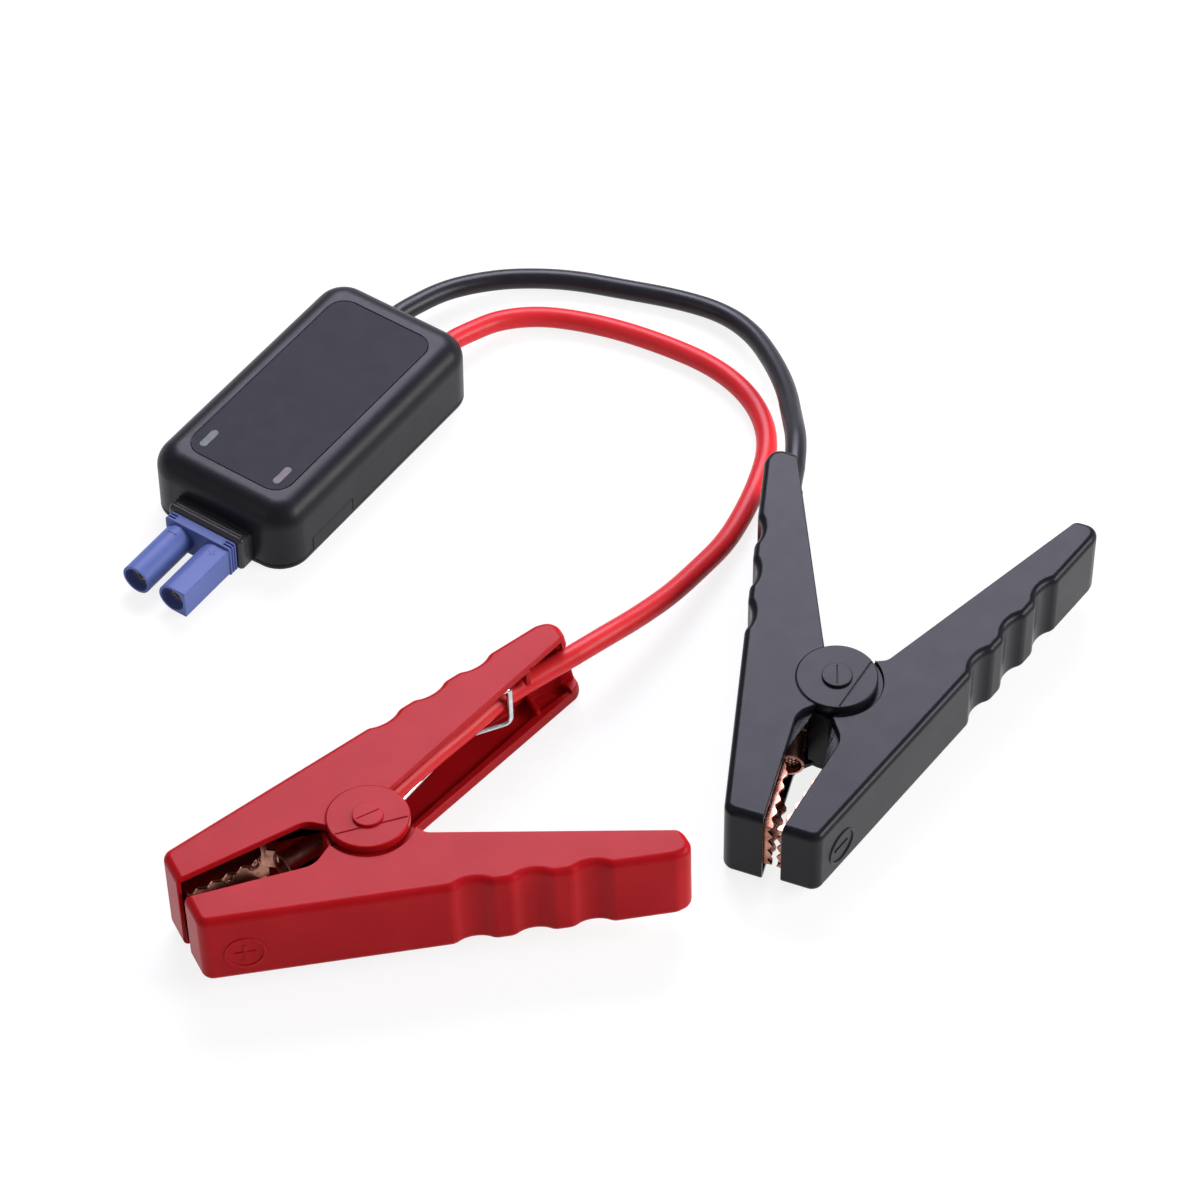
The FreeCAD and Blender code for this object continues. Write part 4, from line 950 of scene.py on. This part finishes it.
def springPoints(spec):
    # Each half runs from a leg's tip round the pin to the bridge; the lower half is mirrored
    tip, bend = Vector((*spec["tip"], 0.0)), Vector((*spec["bend"], 0.0))
    radius = spec["radius"]
    start = math.atan2(tip.y, tip.x) - math.acos(radius / tip.length)
    end = math.atan2(bend.y, bend.x) + math.acos(radius / bend.length)
    sweep = (start - end) % (2 * math.pi) + 2 * math.pi
    steps = 2 * math.ceil(sweep / (math.pi / 2))
    step = sweep / steps
    fall = (spec["top"] - spec["coilEnd"]) / steps
    points = [Vector((tip.x, tip.y, spec["top"]))]
    reach = radius / math.cos(step / 2)
    for i in range(steps):
        around = start - (i + 0.5) * step
        points.append(Vector((reach * math.cos(around), reach * math.sin(around),
                              spec["top"] - (i + 0.5) * fall)))
    halves = []
    for half in (spec["above"], spec["below"]):
        bend.z = half["arm"]
        bridge = Vector((*spec["bridge"], half["bridge"]))
        back = (bend - points[-1]).normalized()
        ahead = (bridge - bend).normalized()
        halves.append(points + [bend - back * spec["beforeBend"], bend.copy(), bend + ahead * spec["afterBend"],
                                bridge - ahead * half["corner"], bridge,
                                bridge - Vector((0.0, 0.0, half["corner"]))])
    return halves[0] + [Vector((p.x, p.y, -p.z)) for p in reversed(halves[1])]


def tubeMesh(points, width, roundness):
    curve = addCurve("tube line", points, width, roundness)
    bpy.context.view_layer.update()
    mesh = bpy.data.meshes.new_from_object(curve)
    bpy.data.objects.remove(curve)
    shape = bmesh.new()
    shape.from_mesh(mesh)
    bpy.data.meshes.remove(mesh)
    bmesh.ops.remove_doubles(shape, verts=shape.verts, dist=tubeSpot)
    bmesh.ops.recalc_face_normals(shape, faces=shape.faces)
    return shape


seatBack = jaw["depth"] + jaw["sheet"] + jaw["seat"]
tongueBack = jaw["depth"] + jaw["sheet"] + barrel["tongue"]
freeJaw = jawMatrix(handles["free"])
for colour, spec in clamps.items():
    matrix = clampMatrix(spec)
    lever = colour + "_lever"
    cableJaw = matrix @ jawMatrix(handles["cable"])
    plastic = slotOf[colour + "_handle_free"]
    addPiece(placed(cableHandle(grip, spec), matrix), colour + "_handle_by_cable", plastic, "base",
             [colour + "_handle_cable_side"], moulded)
    addPiece(mirrored(freeHandle(grip, spec), matrix), colour + "_handle_lever", plastic, lever,
             [colour + "_handle_free"], moulded)
    addPiece(mirrored(badgeShape(handles["free"], badge, spec["plus"]), matrix), colour + "_badge", plastic,
             lever)
    addPiece(placed(jawShape(jaw), cableJaw), colour + "_jaw_by_cable", "copper", "base",
             [colour + "_jaw_cable_side"], pressed, angle=sheetAngle)
    addPiece(mirrored(placed(jawShape(jaw), freeJaw), matrix), colour + "_jaw_lever", "copper", lever,
             [colour + "_jaw_free"], pressed, angle=sheetAngle)
    rivets = joinShapes([rivetShape(eyelet, x, back) for x, back in zip(jaw["rivets"], (seatBack, tongueBack))])
    addPiece(placed(rivets, cableJaw), colour + "_rivets_by_cable", "copper", "base",
             [colour + "_jaw_rivets_cable_side"])
    rivets = joinShapes([rivetShape(eyelet, x, seatBack) for x in jaw["rivets"]])
    addPiece(mirrored(placed(rivets, freeJaw), matrix), colour + "_rivets_lever", "copper", lever,
             [colour + "_jaw_rivets_free"])
    # The barrel takes the paler copper, as painted light
    addPiece(placed(barrelShape(barrel), cableJaw), colour + "_barrel", "copper", "base",
             [colour + "_crimp_barrel"], pressed, angle=sheetAngle, finish="copper_tube_painted_light")
    addPiece(placed(pinShape(pin, spec["slit"]), matrix), colour + "_pin", plastic, "base",
             [colour + "_pivot_pin"], turned)
    node = colour + "_cable_in_handle"
    held = tubeMesh([Vector(point) for point in heldCable], cableWidth / mm, 8)
    addPiece(placed(held, matrix), colour + "_cable_held", slotOf[node], "base", [node])
    node = colour + "_spring"
    wire = placed(tubeMesh(springPoints(springSpec), springSpec["wire"], 5), matrix)
    piece = meshObject(wire, node + "_wire", slotOf[node], sheetAngle)
    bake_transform(piece)
    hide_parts(node)
print("clamps finished")
